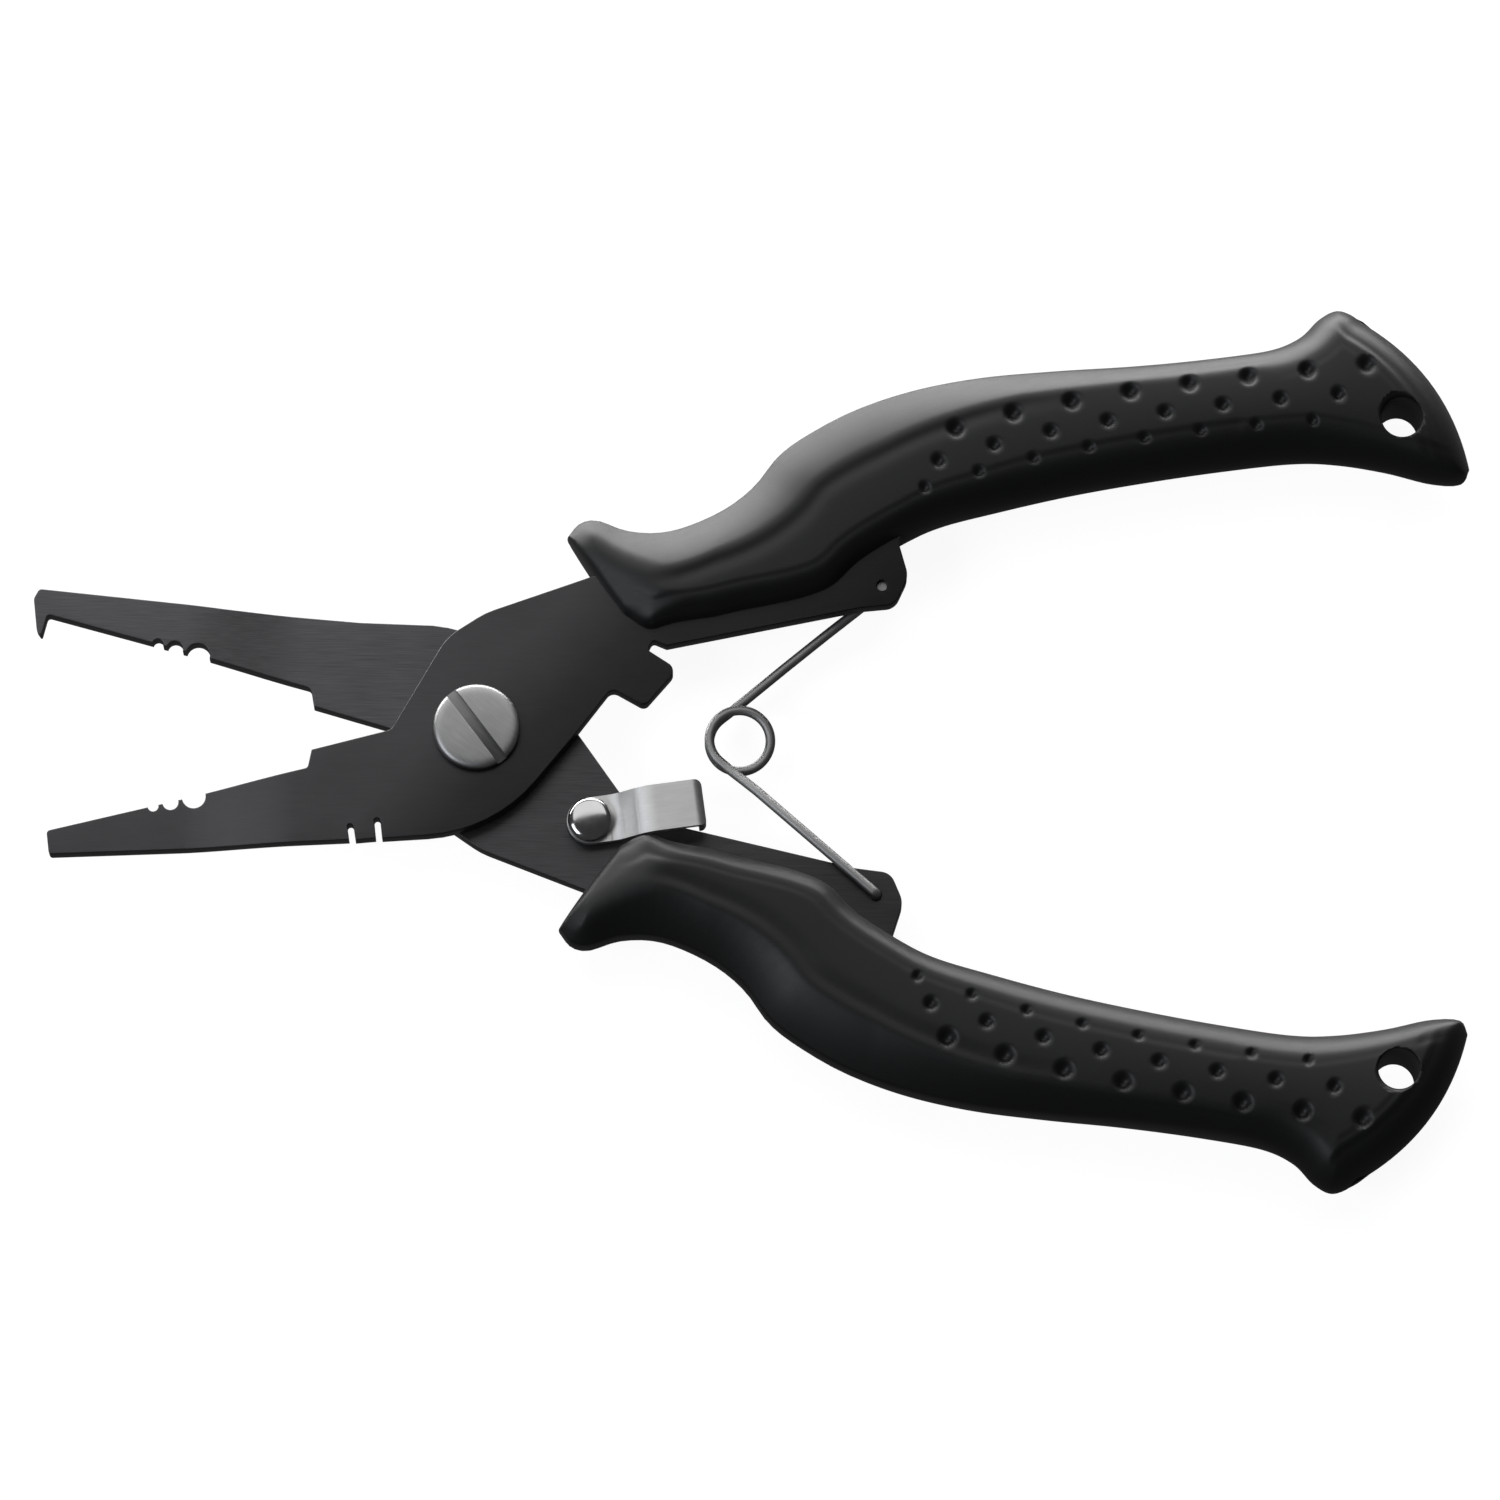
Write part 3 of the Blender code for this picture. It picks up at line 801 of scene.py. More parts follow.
@dataclass
class DimpleTool:
    """A Geometry Nodes tree that presses rows of dimples into both faces of a grip."""

    rows: tuple[DimpleRow, ...] = (
        DimpleRow((54.6, 35.75), (69.6, 40.8), (102.0, 44.3), 1.28),
        DimpleRow((52.65, 31.9), (69.9, 37.95), (98.75, 40.7), 1.0),
        DimpleRow((51.1, 28.75), (70.0, 35.4), (95.8, 37.6), 0.8),
    )
    depth: float = 0.66

    def tree(self) -> tuple[bpy.types.NodeTree, dict[str, str]]:
        """Builds the tree.

        Returns:
            The tree, and each input's identifier by its name.
        """
        kinds = {"start": "Vector", "middle": "Vector", "end": "Vector", "count": "Int", "radius": "Float"}
        inputs = {f"Row {number} {word}": kind
                  for number in range(len(self.rows)) for word, kind in kinds.items()}
        inputs |= {"Depth share": "Float", "Finish": "Material"}
        desk, names = NodeDesk.for_shapes("grip_dimples", inputs)
        given = desk.add("NodeGroupInput").outputs
        joined = desk.add("GeometryNodeJoinGeometry")
        for number in range(len(self.rows)):
            arch = desk.add("GeometryNodeCurveQuadraticBezier", None, {
                "Resolution": 64, "Start": given[f"Row {number} start"],
                "Middle": given[f"Row {number} middle"], "End": given[f"Row {number} end"]})
            even = desk.add("GeometryNodeResampleCurve", None, {
                "Curve": arch.outputs[0], "Count": given[f"Row {number} count"]})
            spots = desk.add("GeometryNodeCurveToPoints", {"mode": "EVALUATED"}, {"Curve": even.outputs[0]})
            sized = desk.add("GeometryNodeStoreNamedAttribute", {"data_type": "FLOAT", "domain": "POINT"}, {
                "Geometry": spots.outputs[0], "Name": "size", "Value": given[f"Row {number} radius"]})
            desk.feed(joined.inputs[0], sized.outputs[0])
        place = desk.add("GeometryNodeInputPosition").outputs[0]
        parts = desk.add("ShaderNodeSeparateXYZ", None, {0: place}).outputs
        flat = desk.add("ShaderNodeCombineXYZ", None, {"X": parts["X"], "Y": parts["Y"]}).outputs[0]
        nearest = desk.add("GeometryNodeSampleNearest", {"domain": "POINT"},
                           {"Geometry": joined.outputs[0], "Sample Position": flat}).outputs[0]
        centre = desk.add("GeometryNodeSampleIndex", {"data_type": "FLOAT_VECTOR", "domain": "POINT"},
                          {"Geometry": joined.outputs[0], "Value": place, "Index": nearest}).outputs[0]
        size = desk.add("GeometryNodeInputNamedAttribute", {"data_type": "FLOAT"},
                        {"Name": "size"}).outputs[0]
        radius = Signal(desk, desk.add("GeometryNodeSampleIndex", {"data_type": "FLOAT", "domain": "POINT"},
                                       {"Geometry": joined.outputs[0], "Value": size,
                                        "Index": nearest}).outputs[0])
        gap = Signal(desk, desk.add("ShaderNodeVectorMath", {"operation": "DISTANCE"},
                                    {0: flat, 1: centre}).outputs["Value"])
        share = desk.maths("DIVIDE", gap, radius)
        eased = desk.add("ShaderNodeMapRange", {"interpolation_type": "SMOOTHSTEP"},
                         {"Value": share, "From Min": 0.12, "From Max": 1.0,
                          "To Min": 1.0, "To Max": 0.0}).outputs[0]
        hollow = Signal(desk, eased) * 0.8 + (1.0 - share * share).clamped() * 0.2
        side = desk.maths("SIGN", Signal(desk, parts["Z"]))
        drop = hollow * radius * Signal(desk, given["Depth share"]) * side * -1.0
        shift = desk.add("ShaderNodeCombineXYZ", None, {"Z": drop}).outputs[0]
        pressed = desk.add("GeometryNodeSetPosition", None,
                           {"Geometry": given["Geometry"], "Offset": shift}).outputs[0]
        desk.hand_out(pressed, given["Finish"])
        return desk.tree, names

    def press(self, piece: bpy.types.Object, side: Side, finish: bpy.types.Material, bench: Bench) -> None:
        """Presses the rows into a grip whose mesh is still in pivot millimetres.

        Args:
            piece: The grip.
            side: The grip's side of the tool.
            finish: Its material.
            bench: The bench that applies the tree.
        """
        tree, names = self.tree()
        modifier = piece.modifiers.new("dimples", "NODES")
        modifier.node_group = tree
        for number, row in enumerate(self.rows):
            for word in ("start", "middle", "end"):
                x, y = getattr(row, word)
                modifier[names[f"Row {number} {word}"]] = (x, y * side.value, 0.0)
            modifier[names[f"Row {number} count"]] = row.count
            modifier[names[f"Row {number} radius"]] = row.radius
        modifier[names["Depth share"]] = self.depth
        modifier[names["Finish"]] = finish
        bench.apply(piece)


def soft_min(a: np.ndarray, b: np.ndarray | float, blend: float) -> np.ndarray:
    """Returns the lesser of two values, rounded where they cross."""
    least = np.minimum(a, b)
    blend = blend * np.clip(least * 2, 0.01, 1)
    near = np.clip(1 - np.abs(a - b) / blend, 0, 1)
    return least - near * near * blend / 4


def distance_to(points: np.ndarray, line: np.ndarray) -> np.ndarray:
    """Returns each point's distance to an open line.

    Args:
        points: An (n, 2) array.
        line: An (m, 2) array.

    Returns:
        An (n,) array.
    """
    best = np.full(len(points), np.inf)
    for start, end in zip(line[:-1], line[1:]):
        run = end - start
        share = np.clip((points - start) @ run / (run @ run), 0, 1)
        best = np.minimum(best, np.linalg.norm(points - start - share[:, None] * run, axis=1))
    return best


@dataclass
class Grip:
    """A moulded grip: a lofted body with an outer facet, dimples and a lanyard hole."""

    side: Side
    finish: MouldedGrip = field(default_factory=MouldedGrip)
    half: float = 5.75
    # A point on the outer edge, a point on the inner edge, and the bow towards the tail.
    stations: tuple = (
        (9.9, 23.1, 16.95, 13.1, -0.2), (11.3, 24.75, 19.6, 11.7, -0.05), (13.4, 25.15, 22.1, 12.4, 0),
        (16.8, 24.0, 24.2, 12.85, 0), (20.6, 23.85, 27.0, 13.3, 0), (24.2, 24.85, 30.2, 14.1, 0),
        (28.2, 26.9, 33.6, 14.85, 0), (31.4, 29.6, 37.4, 15.8, 0), (34.1, 33.2, 40.9, 17.35, 0),
        (37.6, 35.9, 44.0, 20.4, 0), (43.0, 38.9, 48.9, 23.55, 0), (49.8, 41.35, 53.2, 25.6, 0),
        (57.5, 43.0, 59.6, 27.4, 0), (66.0, 43.95, 68.0, 29.5, 0), (75.0, 44.7, 77.0, 31.3, 0),
        (83.5, 45.7, 86.0, 32.8, 0), (90.5, 46.9, 93.8, 33.8, 0), (94.3, 48.6, 99.0, 33.75, 0.3),
        (96.6, 50.9, 104.6, 32.95, 0.9), (98.6, 52.0, 109.8, 31.75, 1.7),
        (100.3, 51.6, 113.3, 31.75, 2.4), (101.8, 50.5, 114.25, 33.3, 2.3))
    # Width of the outer facet at places along the grip.
    facet: tuple = ((8, 5.4), (20, 5.4), (27, 5.0), (38, 6.0), (46, 6.0), (54, 4.9), (62, 3.7), (74, 2.9),
                    (90, 2.8), (97, 3.8), (104, 3.0), (116, 2.4))
    inner: tuple = ((15, 2.6), (30, 3.0), (48, 3.0), (62, 3.8), (96, 4.0), (106, 3.2), (116, 2.4))
    front_width: float = 4.6
    tail_width: float = 3.0
    lanyard: Vector = at(106.1, 38.3)
    lanyard_radius: float = 2.35
    across: int = 76

    def spline(self, steps: np.ndarray) -> np.ndarray:
        """Reads the stations smoothly at fractional steps.

        Args:
            steps: Places along the list of stations.

        Returns:
            One row of station values for each step.
        """
        table = np.array(self.stations)
        last = len(table) - 1
        index = np.clip(np.floor(steps).astype(int), 0, last - 1)
        t = (steps - index)[:, None]
        here, follow = table[index], table[index + 1]
        before = np.where((index > 0)[:, None], table[np.maximum(index - 1, 0)], 2 * here - follow)
        after = np.where((index + 2 <= last)[:, None], table[np.minimum(index + 2, last)],
                         2 * follow - here)
        return 0.5 * (2 * here + (follow - before) * t
                      + (2 * before - 5 * here + 4 * follow - after) * t ** 2
                      + (3 * here - before - 3 * follow + after) * t ** 3)

    def steps_along(self) -> np.ndarray:
        """Returns the fractional stations of the fine rings, closest at the ends and the dimples."""
        lead = 2.2 * (1 - np.cos(np.linspace(0, math.pi / 2, 26)[:-1]))
        trail = 21 - 2.0 * (1 - np.cos(np.linspace(0, math.pi / 2, 30)))[::-1]
        return np.concatenate([lead, np.linspace(2.2, 10.4, 78)[:-1], np.linspace(10.4, 18.0, 232)[:-1],
                               np.linspace(18.0, 19.0, 18)[:-1], trail])

    def plan(self) -> np.ndarray:
        """Returns the fine grid in plan, one row for each ring."""
        rings = self.spline(self.steps_along())
        outer, inner, bow = rings[:, None, 0:2], rings[:, None, 2:4], rings[:, None, 4:5]
        share = ((1 - np.cos(np.linspace(0, math.pi, self.across))) / 2)[None, :, None]
        even = np.linspace(0, 1, self.across)[None, :, None]
        share = share * 0.7 + even * 0.3
        across = inner - outer
        along = np.stack([-across[..., 1], across[..., 0]], -1)
        along /= np.linalg.norm(along, axis=-1, keepdims=True)
        return outer + across * share + along * (bow * 4 * share * (1 - share))

    def heights(self, grid: np.ndarray) -> np.ndarray:
        """Returns the half thickness over the plan grid."""
        flat = grid.reshape(-1, 2)
        x = flat[:, 0]
        far_outer, far_inner, far_front, far_tail = (
            distance_to(flat, np.vstack([line[:-1:3], line[-1:]]))
            for line in (grid[:, 0], grid[:, -1], grid[0], grid[-1]))

        def crown(distance: np.ndarray, width: np.ndarray | float) -> np.ndarray:
            """A quarter round that rises to 1 over width, and on past it."""
            share = distance / width
            round_off = np.sqrt(np.clip(1 - np.clip(1 - share, 0, 1) ** 2, 0, 1))
            return round_off + np.clip(share - 1, 0, 2) ** 2 * 2.5

        facet = np.interp(x, *np.array(self.facet).T)
        rim = np.interp(x, [20, 60, 75, 90, 105], [0.30, 0.40, 0.5, 0.6, 0.78])
        share = np.minimum(far_outer / facet, 1.6)
        slope = rim + (1 - rim) * share * (1.42 - 0.42 * share)
        height = soft_min(crown(far_outer, 1.9), slope, 0.16)
        flare = np.clip((x - 87) / 9, 0, 1)
        flare = flare * flare * (3 - 2 * flare)
        height = height * (1 - flare) + crown(np.minimum(far_outer, far_tail), 4.4) * flare
        height = soft_min(height, crown(far_inner, np.interp(x, *np.array(self.inner).T)), 0.2)
        front = soft_min(crown(far_front, 1.5), 0.6 + 0.4 * far_front / self.front_width, 0.3)
        height = soft_min(height, front, 0.3)
        height = soft_min(height, crown(far_tail, self.tail_width), 0.3)
        share = np.broadcast_to(np.linspace(-1, 1, grid.shape[1])[None, :], grid.shape[:2]).reshape(-1)
        camber = np.interp(x, [30, 50, 62, 85, 100, 114], [0.05, 0.09, 0.16, 0.26, 0.3, 0.3])
        valley = (np.exp(-((far_outer - facet - 1.1) / 1.0) ** 2)
                  * np.interp(x, [17, 24, 56, 70], [0, 0.035, 0.035, 0]))
        height = soft_min(height, 1.0, 0.05) * (1 - camber * share ** 2 - valley)
        return np.maximum(height, 0).reshape(grid.shape[:2]) * self.half

    def body(self, name: str) -> bpy.types.Object:
        """Builds the plain grip, in pivot millimetres, with a parting line on its middle plane."""
        grid = self.plan()
        tall = self.heights(grid)
        rings, across = tall.shape
        grid[..., 1] *= self.side.value
        front = np.concatenate([grid, tall[..., None]], -1).reshape(-1, 3)
        back = front * np.array([1, 1, -1])
        edge = np.ones((rings, across), bool)
        edge[1:-1, 1:-1] = False
        front[edge.reshape(-1), 2] = 0
        number = np.arange(rings * across).reshape(rings, across)
        under = number.copy()
        under[~edge] = rings * across + np.arange((~edge).sum())
        points = np.concatenate([front, back[~edge.reshape(-1)]])
        faces = []
        for sheet, flip in ((number, False), (under, True)):
            corners = [sheet[:-1, :-1], sheet[1:, :-1], sheet[1:, 1:], sheet[:-1, 1:]]
            quads = np.stack(corners, -1).reshape(-1, 4)
            faces += (quads[:, ::-1] if flip else quads).tolist()
        mesh = bpy.data.meshes.new(name)
        mesh.from_pydata(points.tolist(), [], faces)
        return linked(name, mesh)

    def drill(self) -> bmesh.types.BMesh:
        """Returns the lanyard hole's cutter, flared at both faces."""
        radius, flare, top = self.lanyard_radius, 0.85, self.half - 0.02
        curve = [math.radians(a) for a in range(0, 76, 8)]
        side = [(radius + flare * (1 - math.cos(a)), top - flare + flare * math.sin(a)) for a in curve]
        side.append((side[-1][0] + 0.05, top + 2))
        half = [(0, top + 2)] + side[::-1]
        centre = Vector((self.lanyard.x, self.lanyard.y * self.side.value))
        return turned(half + [(r, -h) for r, h in reversed(half)], centre, 72)

    def build(self, bench: Bench, tool: DimpleTool) -> None:
        """Builds the grip and puts it on its body.

        Args:
            bench: The bench.
            tool: The dimple tool.
        """
        name, body = ("upper_grip", Body.FRONT) if self.side is Side.FRONT else ("lower_grip", Body.REAR)
        finish = bpy.data.materials.get(self.finish.name) or self.finish.material()
        piece = self.body(name + "_fine")
        tool.press(piece, self.side, finish, bench)
        shape = bmesh.new()
        shape.from_mesh(piece.data)
        bpy.data.objects.remove(piece, do_unlink=True)
        piece = bench.solid(name + "_fine", shape, 40)
        bench.cut(piece, bench.solid("lanyard_drill", self.drill()))
        bench.fit(piece, finish, Slot.GRIP, body, name)


# ---------------------------------------------------------- screws and rivets


@dataclass
class PivotSet:
    """The slotted pivot screw with its washer and nut."""

    lap_face: float = 2.65
    gap: float = 0.25
    head: float = 5.0
    shaft: float = 2.5
    crown: float = 0.62
    rise: float = 0.1
    slot_width: float = 1.3
    slot_turn: float = math.radians(-52)
    back: float = -5.4
    # Height of the head's upright rim.
    rim: float = 0.42
    washer_radius: float = 4.3
    washer_thickness: float = 0.5
    nut_radius: float = 4.55

    def screw(self, bench: Bench) -> bpy.types.Object:
        """Builds the screw with its domed, slotted head."""
        base = self.lap_face + self.gap
        rim = self.rim
        dome = []
        for step in range(25):
            share = math.sin(math.pi / 2 * step / 24) * 0.998
            dome.append((self.head * share,
                         base + rim + self.crown * (1 - share ** 16) ** 0.6 + self.rise * (1 - share ** 2)))
        profile = dome + [(self.head, base + rim), (self.head, base + 0.12), (self.head - 0.1, base),
                          (self.shaft, base), (self.shaft, self.back + 0.3), (self.shaft - 0.3, self.back),
                          (0, self.back)]
        piece = bench.solid("pivot_screw_fine", turned(profile, Vector((0, 0)), 112), 30)
        half = self.slot_width / 2
        bar = [Matrix.Rotation(self.slot_turn, 2) @ Vector(p)
               for p in ((-6, -half), (6, -half), (6, half), (-6, half))]
        bench.cut(piece, bench.solid("slot_cutter", plate(bar, (), base + 0.3, base + 4, 0.001)))
        bench.ease(piece, 0.09, 40)
        return piece

    def washer(self, bench: Bench) -> bpy.types.Object:
        """Builds the back washer."""
        top = -self.lap_face - self.gap
        profile = washer(self.washer_radius, self.shaft + self.gap, top - self.washer_thickness, top,
                         0.12)
        return bench.solid("pivot_washer_fine", turned(profile, Vector((0, 0)), 80), 30)

    def nut(self, bench: Bench) -> bpy.types.Object:
        """Builds the hexagon nut with its chamfered corners."""
        top = -self.lap_face - self.gap * 2 - self.washer_thickness
        hexagon = arc(Vector((0, 0)), self.nut_radius, 0, math.tau, 6)[:-1]
        shape = plate(hexagon, [(Vector((0, 0)), self.shaft + self.gap)], self.back, top, 0.1)
        piece = bench.solid("pivot_nut_fine", shape, 30)
        cone = [(0, top + 1), (5.4, top + 1), (5.4, self.back + 0.75), (4.0, self.back), (0, self.back)]
        bench.cut(piece, bench.solid("nut_chamfer", turned(cone, Vector((0, 0)), 64)), "INTERSECT")
        return piece

    def build(self, bench: Bench, slotted: bpy.types.Material, bright: bpy.types.Material,
              dark: bpy.types.Material) -> None:
        """Builds the screw, washer and nut.

        Args:
            bench: The bench.
            slotted: The screw's finish.
            bright: The washer's finish.
            dark: The nut's finish.
        """
        bench.fit(self.screw(bench), slotted, Slot.BRIGHT, Body.REAR, "pivot_screw")
        bench.fit(self.washer(bench), bright, Slot.BRIGHT, Body.REAR, "pivot_washer")
        bench.fit(self.nut(bench), dark, Slot.DARK, Body.REAR, "pivot_nut")


@dataclass
class RivetSet:
    """The lever's rivet with its two washers."""

    centre: Vector = at(*LEVER_AXIS)
    face: float = 1.7
    head: float = 2.6
    shaft: float = 1.6
    bore: float = LEVER_BORE
    plate_back: float = -2.65

    def build(self, bench: Bench, bright: bpy.types.Material) -> None:
        """Builds the rivet and its washers.

        Args:
            bench: The bench.
            bright: Their finish.
        """
        dome = [(self.head * float(s), self.face + 0.35 + 0.45 * (1 - s ** 8) ** 0.6 + 0.3 * (1 - s ** 2))
                for s in np.sin(np.linspace(0, 1.53, 20))]
        back = self.plate_back - 0.85
        tail = [(2.5 * float(s), back - 0.2 - 0.55 * (1 - s ** 2)) for s in np.linspace(1, 0, 8)]
        profile = dome + [(self.head, self.face + 0.35), (self.head, self.face), (self.shaft, self.face),
                          (self.shaft, back), (2.5, back)] + tail
        rivet = bench.solid("lever_rivet_fine", turned(profile, self.centre, 72), 30)
        bench.fit(rivet, bright, Slot.BRIGHT, Body.REAR, "lever_rivet")
        for name, radius, low, high in (("lever_washer", 2.6, 0.1, 0.3),
                                        ("rivet_washer", 2.9, self.plate_back - 0.6, self.plate_back - 0.2)):
            profile = washer(radius, self.bore, low, high, 0.06)
            piece = bench.solid(name + "_fine", turned(profile, self.centre, 72), 30)
            bench.fit(piece, bright, Slot.BRIGHT, Body.REAR, name)


# ------------------------------------------------------------ lever and spring


@dataclass
class LockLever:
    """The bent strip that hooks the front blade's catch."""

    centre: Vector = at(*LEVER_AXIS)
    turn: float = math.radians(8.7)
    width: float = 5.4
    strip: float = 0.9
    reach: float = 13.15
    low: float = 0.55
    high: float = 3.0
    ramp: tuple[float, float] = (2.9, 6.4)
    tab_end: float = 0.4
    bore: float = LEVER_BORE

    def profile(self) -> list[Vector]:
        """Returns the strip seen from its edge, as (along, height) points."""
        low, high, strip, tab = self.low, self.high, self.strip, self.reach - self.strip
        start, end = self.ramp
        return rounded([(-2.75, low + strip, 0.1), (start, low + strip, 3.0), (end, high + strip, 4.5),
                        (self.reach, high + strip, 1.2), (self.reach, self.tab_end, 0.2),
                        (tab, self.tab_end, 0.2), (tab, high, 0.25), (end, high, 3.6), (start, low, 3.9),
                        (-2.75, low, 0.1)], math.radians(2.5))

    def build(self, bench: Bench, finish: bpy.types.Material) -> None:
        """Builds the lever and puts it on its body.

        Args:
            bench: The bench.
            finish: Its material.
        """
        half = self.width / 2
        shape = bmesh.new()
        rows = [[shape.verts.new((p.x, side * half, p.y)) for p in self.profile()] for side in (-1, 1)]
        for row in rows:
            shape.faces.new(row)
        for index in range(len(rows[0])):
            shape.faces.new((rows[0][index - 1], rows[0][index], rows[1][index], rows[1][index - 1]))
        matrix = Matrix.Translation((*self.centre, 0)) @ Matrix.Rotation(self.turn, 4, "Z")
        bmesh.ops.transform(shape, matrix=matrix, verts=shape.verts)
        piece = bench.solid("lock_lever_fine", shape, 30)
        flat = arc(Vector((0, 0)), half, math.pi / 2, 3 * math.pi / 2, 40)
        flat += rounded([(0, -half, 0), (self.reach, -half, 0.7), (self.reach, half, 0.7),
                         (0, half, 0)])[1:-1]
        flat = [(matrix @ Vector((p.x, p.y, 0))).to_2d() for p in flat]
        bench.cut(piece, bench.solid("lever_trim", plate(flat, (), -2, 8, 0.001)), "INTERSECT")
        bench.cut(piece, bench.solid("lever_drill", turned([(0, 8), (self.bore, 8), (self.bore, -2), (0, -2)],
                                                           self.centre, 64)))
        bench.ease(piece, 0.13, 50)
        bench.level(piece, matrix.to_3x3() @ Vector((0, 1, 0)))
        bench.fit(piece, finish, Slot.LEVER, Body.LEVER, "lock_lever")


@dataclass
class TorsionSpring:
    """One wire: a leg from the lower ear, a coil, and a leg to the upper ear."""

    wire: float = 0.565
    coil: Vector = at(30.3, 0.0)
    coil_radius: float = 3.52
    ear: Vector = at(*SPRING_EAR)
    front: float = -0.62
    back: float = -2.75
    upper_hook: Vector = at(*UPPER_HOOK)
    # Share of the leg's length from its ear, and height of the wire's centre.
    lower_rise: tuple = ((0.4, 0.65), (0.76, 0.62), (0.85, 0.05), (0.92, -0.5), (0.98, -0.62))
    upper_rise: tuple = ((0.35, -1.0), (0.6, -1.6), (0.85, -2.55), (0.96, -2.75))
    steps: int = 150
    blend_reach: float = 3.7
    hook_bend: float = 0.62
    sides: int = 20

    def hook(self, ear: Vector, end: float, level: float, toward: Vector) -> list[Vector]:
        """Returns the bent end of a leg: through the ear, then round towards the coil.

        Args:
            ear: The wire's place in its hole.
            end: Height of the wire's end.
            level: Height at which the leg leaves.
            toward: Direction of the leg.

        Returns:
            The path's points.
        """
        bend = self.hook_bend
        side = 1 if end > level else -1
        points = [Vector((ear.x, ear.y, end)), Vector((ear.x, ear.y, level + side * bend))]
        for step in range(1, 9):
            angle = math.pi / 2 * step / 8
            plan = ear + toward * bend * (1 - math.cos(angle))
            points.append(Vector((plan.x, plan.y, level + side * bend * (1 - math.sin(angle)))))
        return points

    def path(self) -> list[Vector]:
        """Returns the wire's centre line from the lower hook to the upper hook."""
        low_ear, high_ear = Vector((self.ear.x, -self.ear.y)), self.ear + self.upper_hook
        reach = (low_ear - self.coil).length
        opening = math.atan2(self.ear.y, self.ear.x - self.coil.x) + math.acos(self.coil_radius / reach)
        ring = arc(self.coil, self.coil_radius, math.tau - opening, opening - math.tau, self.steps)
        points = self.hook(low_ear, -2.9, 0.65, (ring[0] - low_ear).normalized())
        for share, height in self.lower_rise:
            plan = low_ear.lerp(ring[0], share)
            points.append(Vector((plan.x, plan.y, height)))
        fall = self.back - self.front
        points += [Vector((p.x, p.y, self.front + fall * step / self.steps)) for step, p in enumerate(ring)]
        for share, height in reversed(self.upper_rise):
            plan = high_ear.lerp(ring[-1], share)
            points.append(Vector((plan.x, plan.y, height)))
        points += reversed(self.hook(high_ear, 2.0, -0.8, (ring[-1] - high_ear).normalized()))
        return points

    def tree(self) -> tuple[bpy.types.NodeTree, dict[str, str]]:
        """Builds the Geometry Nodes tree that sweeps a round wire along its path.

        Returns:
            The tree, and each input's identifier by its name.
        """
        desk, names = NodeDesk.for_shapes("sprung_wire", {"Wire radius": "Float", "Sides": "Int",
                                                          "Finish": "Material"})
        given = desk.add("NodeGroupInput").outputs
        line = desk.add("GeometryNodeMeshToCurve", None, {"Mesh": given["Geometry"]}).outputs[0]
        ring = desk.add("GeometryNodeCurvePrimitiveCircle", None,
                        {"Resolution": given["Sides"], "Radius": given["Wire radius"]}).outputs[0]
        swept = desk.add("GeometryNodeCurveToMesh", None,
                         {"Curve": line, "Profile Curve": ring, "Fill Caps": True}).outputs[0]
        desk.hand_out(swept, given["Finish"])
        return desk.tree, names

    def build(self, bench: Bench, finish: bpy.types.Material) -> None:
        """Builds the wire, which winds between its two bodies.

        Args:
            bench: The bench.
            finish: Its material.
        """
        points = [bench.pivot + p * MM for p in self.path()]
        mesh = bpy.data.meshes.new("torsion_spring")
        mesh.from_pydata(points, [(i, i + 1) for i in range(len(points) - 1)], [])
        piece = linked("torsion_spring", mesh)
        tree, names = self.tree()
        modifier = piece.modifiers.new("wire", "NODES")
        modifier.node_group = tree
        modifier[names["Wire radius"]] = self.wire * MM
        modifier[names["Sides"]] = self.sides
        modifier[names["Finish"]] = finish
        bench.apply(piece)
        shape = bmesh.new()
        shape.from_mesh(piece.data)
        bmesh.ops.remove_doubles(shape, verts=shape.verts, dist=1e-7)
        bmesh.ops.recalc_face_normals(shape, faces=shape.faces)
        shape.to_mesh(piece.data)
        shape.free()
        piece.data.shade_smooth()
        piece.data.set_sharp_from_angle(angle=math.radians(50))
        bench.fit(piece, finish, Slot.WIRE, None, "spring_lower_arm", "spring_upper_arm")
        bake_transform(piece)


# ------------------------------------------------------------------- studio


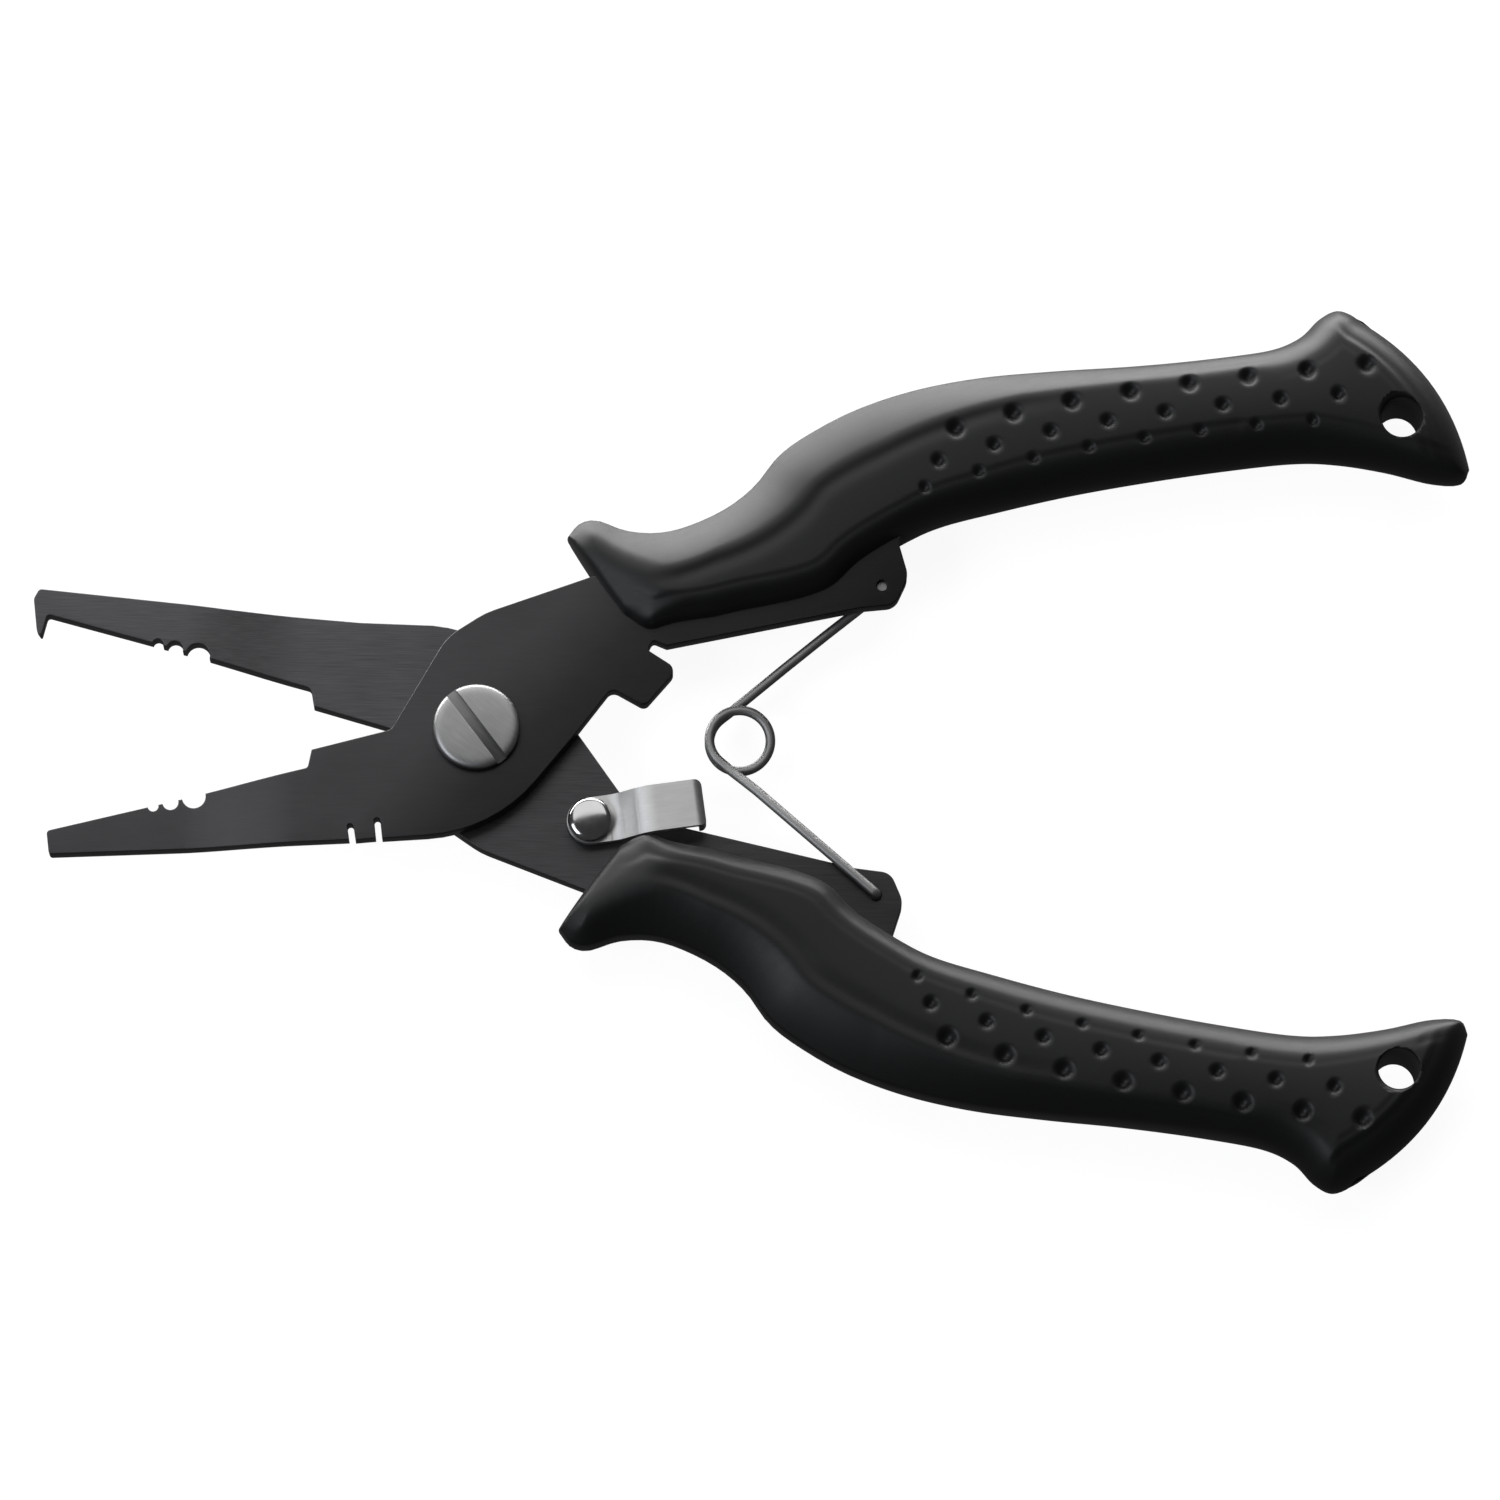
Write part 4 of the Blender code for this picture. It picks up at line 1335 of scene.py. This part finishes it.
@dataclass
class Studio:
    """The pale floor, the soft lights and the camera."""

    elevation: float = math.radians(77.5)
    distance: float = 1.2
    roll: float = math.radians(1.05)
    aim: Place = (0.00009, -0.00141, 0.00575)
    lens: float = 250.0
    floor_reach: float = 4.0
    floor_drop: float = -0.0004
    room_light: float = 0.07
    # Name, place, width, height, power and tone of each area light.
    lights: tuple = (("sky_soft", (-0.22, 0.98, 1.45), 2.1, 1.25, 13.0, (1.0, 1.0, 1.0)),
                     ("key_strip", (-0.35, 1.15, -0.03), 2.8, 1.0, 84.0, (1.0, 1.0, 1.0)),
                     ("left_fill", (-0.95, -0.42, 1.0), 0.7, 0.6, 7.5, (0.90, 0.94, 1.0)))

    def floor(self) -> None:
        """Lays the floor."""
        mesh = bpy.data.meshes.new("floor")
        reach = self.floor_reach
        mesh.from_pydata([(-reach, -reach, 0), (reach, -reach, 0), (reach, reach, 0), (-reach, reach, 0)],
                         [], [(0, 1, 2, 3)])
        made, desk, shader = new_finish("pale_floor", Roughness=0.9, Specular_IOR_Level=0.0,
                                        Emission_Strength=0.93)
        shader.inputs["Emission Color"].default_value = (1.0, 1.0, 1.0, 1.0)
        cloud = desk.noise((2.0, 2.0, 2.0))
        desk.feed(shader.inputs["Base Color"], desk.tint(cloud, (0.16, 0.16, 0.16), (0.18, 0.18, 0.18)))
        mesh.materials.append(made)
        floor = linked("floor", mesh)
        floor.location.z = self.floor_drop
        floor.visible_diffuse = floor.visible_glossy = floor.visible_shadow = False

    def light(self) -> None:
        """Hangs the lights and sets the room's own light."""
        for name, place, width, height, power, tone in self.lights:
            data = bpy.data.lights.new(name, "AREA")
            data.shape, data.size, data.size_y, data.energy = "RECTANGLE", width, height, power
            data.color = tone
            lamp = linked(name, data)
            lamp.location = place
            lamp.rotation_euler = (-Vector(place)).to_track_quat("-Z", "Y").to_euler()
        world = bpy.data.worlds.new("room")
        world.use_nodes = True
        background = world.node_tree.nodes["Background"]
        background.inputs["Color"].default_value = (1.0, 1.0, 1.0, 1.0)
        background.inputs["Strength"].default_value = self.room_light
        bpy.context.scene.world = world

    def camera(self) -> None:
        """Sets the camera over the tool."""
        data = bpy.data.cameras.new("camera")
        data.lens, data.sensor_width, data.clip_end = self.lens, 36.0, 20.0
        back = Vector((0, -math.cos(self.elevation), math.sin(self.elevation)))
        right = Vector((1, 0, 0))
        up = back.cross(right)
        leaned = right * math.cos(self.roll) + up * math.sin(self.roll)
        matrix = Matrix((leaned, back.cross(leaned), back)).transposed().to_4x4()
        matrix.translation = Vector(self.aim) + back * self.distance
        camera = linked("camera", data)
        camera.matrix_world = matrix
        bpy.context.scene.camera = camera

    def build(self) -> None:
        """Sets up the whole studio."""
        self.floor()
        self.light()
        self.camera()
        bpy.context.scene.view_settings.view_transform = "Standard"


def main() -> None:
    """Builds the pliers and the studio, in order."""
    logging.basicConfig(level=logging.INFO, format="%(name)s %(message)s")
    bench = Bench.from_frame()
    # Greys of the painted shade that darkens the front blade from the jaw towards the spring ear.
    greys = ((0.0, 0.95), (0.25, 0.88), (0.47, 0.46), (0.58, 0.38), (0.83, 0.29), (1.0, 0.2))
    front = CoatedSteel("front_coated_steel", (0.050, 0.050, 0.052), (0.092, 0.092, 0.096),
                        painted_shade_falloff=((0.75, -0.66, 0.0), -0.0355, 0.0005, greys))
    # The rear blade keeps the default painted shade, darker along X towards the spring ear.
    rear = CoatedSteel("rear_coated_steel", (0.066, 0.066, 0.069), (0.130, 0.130, 0.135), streak=1.3)
    Blade(Side.FRONT, front).build(bench)
    Blade(Side.REAR, rear).build(bench)
    tool = DimpleTool()
    for side in Side:
        Grip(side).build(bench, tool)
    bright = BrushedSteel("bright_steel", (0.38, 0.38, 0.385), (0.56, 0.56, 0.56), 0.44,
                          math.radians(40)).material()
    # The screw's slot floor is painted darker: painted shade in place of the shadow in the slot.
    slotted = BrushedSteel("slotted_screw_steel", (0.19, 0.19, 0.19), (0.42, 0.42, 0.42), 0.44,
                           math.radians(40), painted_recess_shade=(0.0090, 0.0094)).material()
    polished = BrushedSteel("polished_rivet_steel", (0.36, 0.36, 0.36), (0.46, 0.46, 0.46), 0.16,
                            grain=(900.0, 900.0, 900.0)).material()
    dark = BrushedSteel("dark_nut_steel", (0.08, 0.08, 0.085), (0.16, 0.16, 0.165)).material()
    strip = BrushedSteel("brushed_lever_steel", (0.46, 0.46, 0.455), (0.72, 0.72, 0.71), 0.40,
                         math.radians(-8.7)).material()
    wire = BrushedSteel("spring_wire_steel", (0.23, 0.23, 0.23), (0.32, 0.32, 0.315), 0.52,
                        grain=(300.0, 300.0, 300.0)).material()
    PivotSet().build(bench, slotted, bright, dark)
    RivetSet().build(bench, polished)
    LockLever().build(bench, strip)
    TorsionSpring().build(bench, wire)
    Studio().build()
    LOG.info("%d pieces: %s", len(bench.made), ", ".join(bench.made))


if __name__ == "__main__":
    main()
